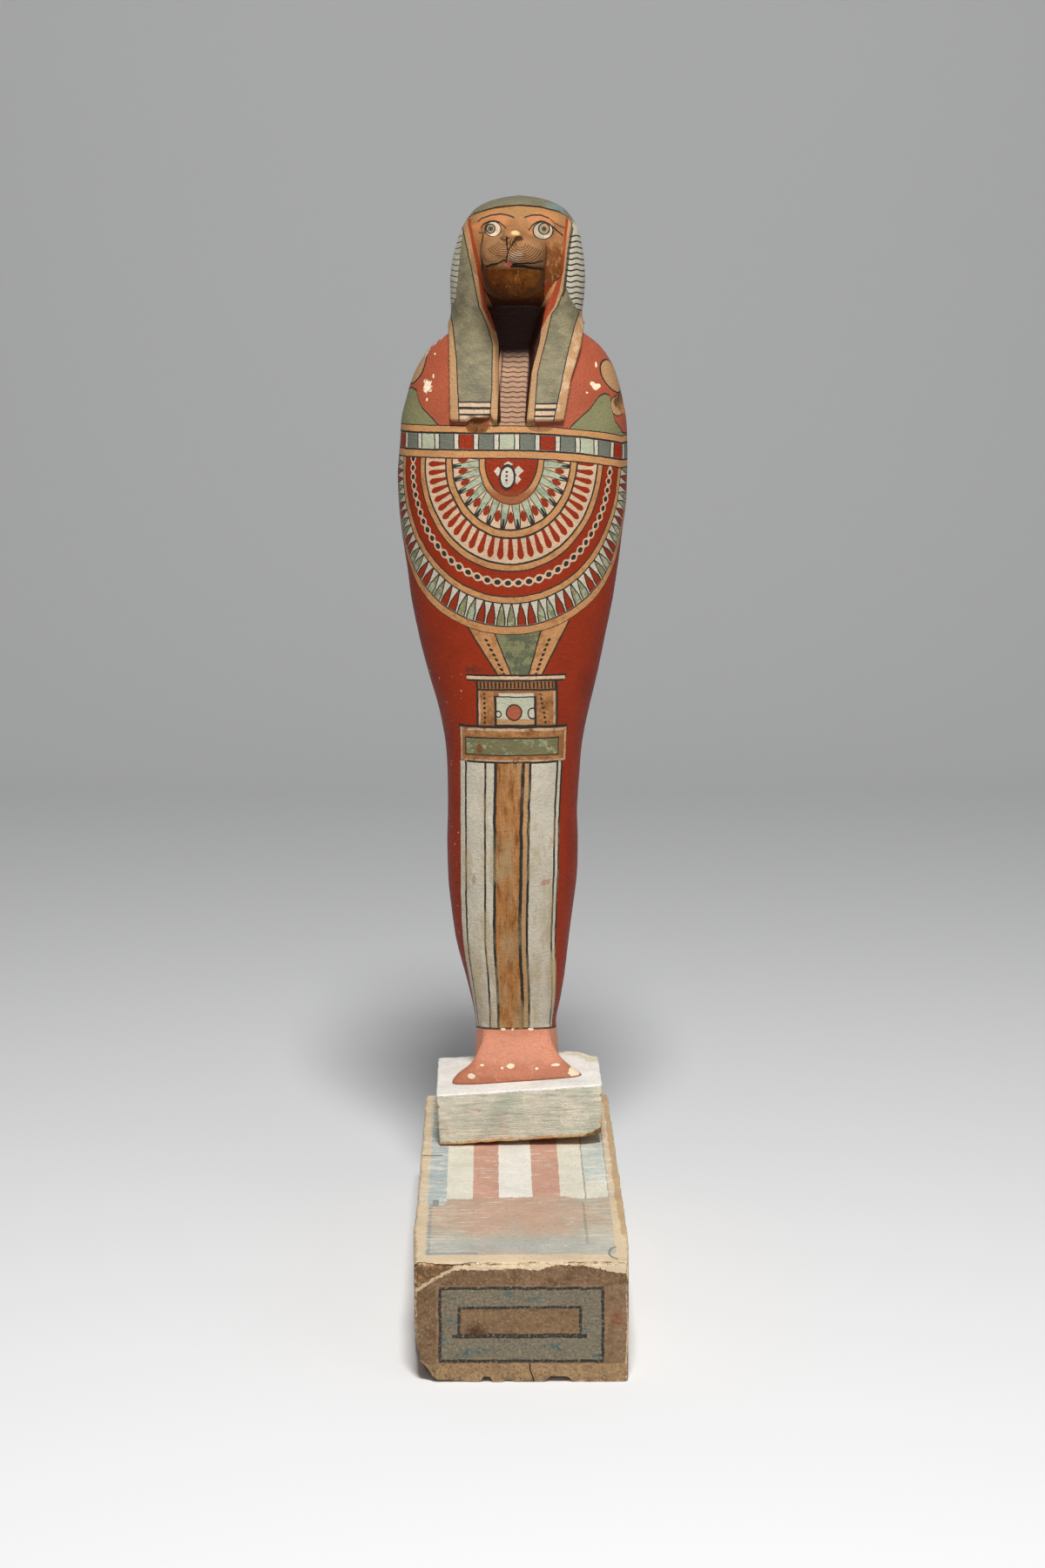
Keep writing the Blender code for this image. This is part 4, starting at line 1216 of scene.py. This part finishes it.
FACE_MIDDLE = np.array([0, -30, 925])
turns = front_to_back(340, 0.55)
rise = np.linspace(-math.pi / 2, math.pi / 2, 262)[1:-1, None]
look = np.stack(np.broadcast_arrays(
    np.cos(rise) * np.cos(turns), np.cos(rise) * np.sin(turns), np.sin(rise)), -1)
reach = outermost(FACE_MIDDLE, look, outside_face, 150)
rows = FACE_MIDDLE + look * reach[..., None]
face = close_skin("painted_face", rows * THOUSANDTH + FIGURE_FOOT)

paint, across, height, y = on_the_head("face_paint", WIG_GREEN)
skin = paint_round_face(paint, across, height, y).most(y < 58)
paint.coat(SKIN, y < 58)
fine = paint.cloud(4, 5, 0.7)
broad = paint.cloud(14)
scratches = paint.cloud(2, 4, 0.7, (1, 1, 0.35))
# The jaw and the cheeks below are browner, with lighter scratches and a red lower corner. The jaw's dark
# brown, darker still towards the chin, is partly its paint and partly painted shade under the overhanging
# muzzle.
jaw = height.rise(558.5, 555.5)
cheek = (across > 15.2) * height.rise(575, 566) * (height > 536)
paint.coats(
    skin,
    ((140, 92, 56), broad.rise(0.4, 0.62), 0.8),
    ((154, 114, 72), (height > 583.5) * (height < 592), 0.7),
    ((141, 102, 66), paint.spot(-2, 565, 17, 9).rise(1.1, 0.8)),
    ((76, 37, 7), jaw),
    ((106, 62, 18), jaw * (broad + across.rise(-14, 16) * 0.16).rise(0.5, 0.66), 0.7),
    ((58, 27, 8), jaw * (fine + height.rise(549, 539) * 0.2).rise(0.5, 0.64), 0.75),
    ((158, 112, 60), jaw * scratches.rise(0.6, 0.68), 0.5),
    ((108, 60, 29), cheek * fine.rise(0.32, 0.5), 0.9),
    ((170, 120, 78), cheek * scratches.rise(0.55, 0.62), 0.6),
    (EDGE_RED, cheek * (height + fine * 5).rise(553, 550) * (scratches < 0.56), 0.9),
    # Below the chin the skin is painted dark: painted shadow of the chin.
    (PAINTED_CHIN_SHADOW, height.rise(541, 537)))
# Reddish skin round the eyes; each eye is grey-white in a dark outline, with a dark ring round a
# grey iris and a dark brown pupil.
for oval in ((-12.5, 583, 9, 4.5), (14, 583, 9, 4.5), (8, 575, 2.6, 1.3), (-20.5, 579, 5, 2.5)):
    paint.coat((186, 118, 74), skin * paint.blot(oval, fine, 1.6, 1.0), 0.75)
at_eyes = y.near(70, 10)
for oval, iris, ring_out in (((-13.1, 577.4, 4.7, 4.3), -14.4, 2.8), ((14.3, 576.6, 5.8, 5.0), 14.9, 3.4)):
    ball = paint.spot(*oval)
    ring = away(across - iris, height - 577.7)
    in_iris = (ring < ring_out - 0.75) * (ball < 1)
    paint.coats(
        at_eyes,
        (DARK, ball < 1),
        ((196, 177, 152), ball < 0.88),
        ((150, 140, 118), (ball < 0.88) * (across < iris), 0.7),
        ((52, 50, 44), (ring < ring_out) * (ball < 1)),
        ((146, 136, 112), in_iris),
        ((172, 132, 92), in_iris * (across > iris + 0.5), 0.6))
    for colour, radius in (((74, 52, 38), 1.35), ((118, 100, 78), 0.85), ((28, 22, 18), 0.55)):
        paint.coat(colour, ring < radius)
lids = paint.course(across, [
    (-19.5, 578.2), (-18.2, 580.0), (-15.5, 581.6), (-12.9, 581.9), (-9.5, 581.1), (-7.0, 579.0),
    (-5.5, 577), (0, 576), (6.3, 576.8), (8.6, 579.6), (10.5, 581), (12.9, 581.7), (15.6, 581.2),
    (18.1, 579.8), (21, 577.6), (23, 575.9), (25.4, 574)])
in_eyes = (abs(across + 12.5) < 7.2).most(across.near(15.9, 9.6)) * at_eyes
paint.coat(DARK, (abs(height - lids) < 0.5) * in_eyes)
for points, thick in (
        ([(-21.5, 581.5), (-19.4, 583.3), (-13.8, 585.3), (-9, 585.7), (-5.2, 585.1), (-1.2, 583.7)], 0.46),
        ([(4.1, 583.7), (8.2, 585.2), (12.9, 585.2), (17.9, 583.4)], 0.46),
        ([(18.4, 583.2), (21.1, 580.6), (24, 579.0), (26.6, 578.3)], 0.36),
        ([(-21, 575.6), (-19, 575.2), (-17.5, 575.6)], 0.3)):
    paint.coat((60, 55, 50), paint.line(across, height, points, thick) * (y < 90))
# The nose: its tip rubbed to the gesso and painted pale also as a highlight, dark nostrils, and lines from
# them down to the mouth.
paint.coats(
    EVERYWHERE,
    ((222, 184, 128), paint.blot((-0.6, 574.9, 2.9, 1.3), fine, 1.6, 1.3) * y.rise(42, 37), 0.85),
    ((58, 38, 28), paint.spot(-7.0, 572.3, 2.1, 1.5).near(0.85, 0.2) * (height < 572.6) * (y < 50), 0.85),
    ((72, 40, 24), paint.blot((0.5, 571.9, 2.6, 1.6), fine, 1.5, 1.3) * (y < 50), 0.9))
for points in ([(559, -6.0), (562, -5.8), (566, -4.8), (571, -1.3), (573, 0.6)],
               [(565.5, -5.3), (573, -6.0)]):
    paint.coat((46, 32, 26), paint.line(height, across, points, 0.42) * (y < 60))
# Whiskers: thin brown arcs, one inside the other, on either side of the line, and a pale patch.
ARC_STEP = 1.15
ARCS_FROM = 1.6
paint.coat((168, 142, 118), paint.blot((-0.5, 562.6, 3.8, 2.8), fine, 1.6, 1.3) * (y < 60), 0.7)
for middle, level, side, slope, inner, far in (
        (-7.6, 570.9, -1, 0.62, -2.0, 9.3), (1.6, 569.4, 1, 0.42, -6.4, 10.8)):
    arc = paint.spot(middle, level, 1.16, 1.0)
    outward = (across - middle) * side
    part_of = (level - height > outward * slope - 1.1) * (outward > inner) * (height > 558.8)
    part_of = part_of * arc.near((ARCS_FROM + far) / 2, (far - ARCS_FROM) / 2) * (y < 62)
    paint.coat((62, 34, 22), ((arc / ARC_STEP).part() < 0.38) * part_of, 0.85)
# The mouth: a dark line that rises at its ends, a broad stroke under it, and a rubbed spot of pink.
for points, thick in (([(-17.2, 556.9), (-14.5, 558.0), (-10.6, 558.7), (-7.4, 560.6), (-6, 560)], 0.5),
                      ([(-3.6, 558.3), (3.4, 558.6), (9, 558.9), (14.4, 560.2)], 0.42),
                      ([(-3.6, 557.2), (3.4, 557.2), (8.2, 556.2), (13.6, 556.0)], 0.75)):
    paint.coat((36, 32, 26), paint.line(across, height, points, thick) * (y < 76))
paint.coat((196, 98, 84), paint.blot((-5.2, 558.2, 2.6, 1.0), fine, 1.5, 1.35) * (y < 60))
# Painted shade: a dark line along the crease where the muzzle meets the left cheek.
crease_shade = paint.course(height, [(557, -18.9), (562, -19.3), (567, -19.6), (575, -18.4)])
crease_shade = (abs(across - crease_shade) < 0.42) * height.near(566, 8.6) * y.near(70, 7)
paint.coat((46, 30, 22), crease_shade, 0.9)
flake(paint, 5, 0.76)
face.data.materials.append(weather(paint, 0.6, 0.7, 0.06))
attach(face, "root")
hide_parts("figure")

# The room: a plain pale floor that curves up into a plain pale wall, soft light, and the camera.
FLOOR_NEAR = -8.0
FLOOR_HALF_WIDTH = 8
WALL_FOOT = 1.6
WALL_CURVE = 0.9
WALL_TOP = 3.5
profile = [(FLOOR_NEAR, 0.0), (WALL_FOOT, 0.0)]
for turn in np.linspace(0, math.pi / 2, 40):
    profile.append((WALL_FOOT + WALL_CURVE * math.sin(turn), WALL_CURVE * (1 - math.cos(turn))))
profile.append((WALL_FOOT + WALL_CURVE, WALL_TOP))
floor = bpy.data.meshes.new("floor")
floor.from_pydata([(x, y, z) for y, z in profile for x in (-FLOOR_HALF_WIDTH, FLOOR_HALF_WIDTH)], [],
                  [(2 * i, 2 * i + 1, 2 * i + 3, 2 * i + 2) for i in range(len(profile) - 1)])
floor.shade_smooth()
room = bpy.data.objects.new("floor", floor)
bpy.context.scene.collection.objects.link(room)

world = bpy.data.worlds.new("soft light")
bpy.context.scene.world = world
world.use_nodes = True
background = world.node_tree.nodes["Background"]
background.inputs["Color"].default_value = (0.95, 0.97, 1, 1)
background.inputs["Strength"].default_value = 0.16
LAMPS_AIM = Vector((0, 0.05, 0.35))
for name, place, size, power in (("key", (0.04, -1.0, 1.75), 0.35, 38), ("fill", (1.4, -1.3, 0.9), 1.2, 4)):
    lamp = bpy.data.lights.new(name, "AREA")
    lamp.size = size
    lamp.energy = power
    holder = bpy.data.objects.new(name, lamp)
    holder.location = place
    holder.rotation_euler = (LAMPS_AIM - Vector(place)).to_track_quat("-Z", "Y").to_euler()
    bpy.context.scene.collection.objects.link(holder)

PITCH = 0.1706
YAW = -0.0113
lens = bpy.data.cameras.new("camera")
lens.lens = 67
lens.sensor_fit = "VERTICAL"
lens.sensor_height = 36
lens.sensor_width = 24
camera = bpy.data.objects.new("camera", lens)
camera.location = (-0.0153, -1.5586, 0.5493)
gaze = Vector((-math.sin(YAW) * math.cos(PITCH), math.cos(YAW) * math.cos(PITCH), -math.sin(PITCH)))
camera.rotation_euler = gaze.to_track_quat("-Z", "Y").to_euler()
bpy.context.scene.collection.objects.link(camera)
bpy.context.scene.camera = camera
bpy.context.scene.view_settings.view_transform = "Standard"
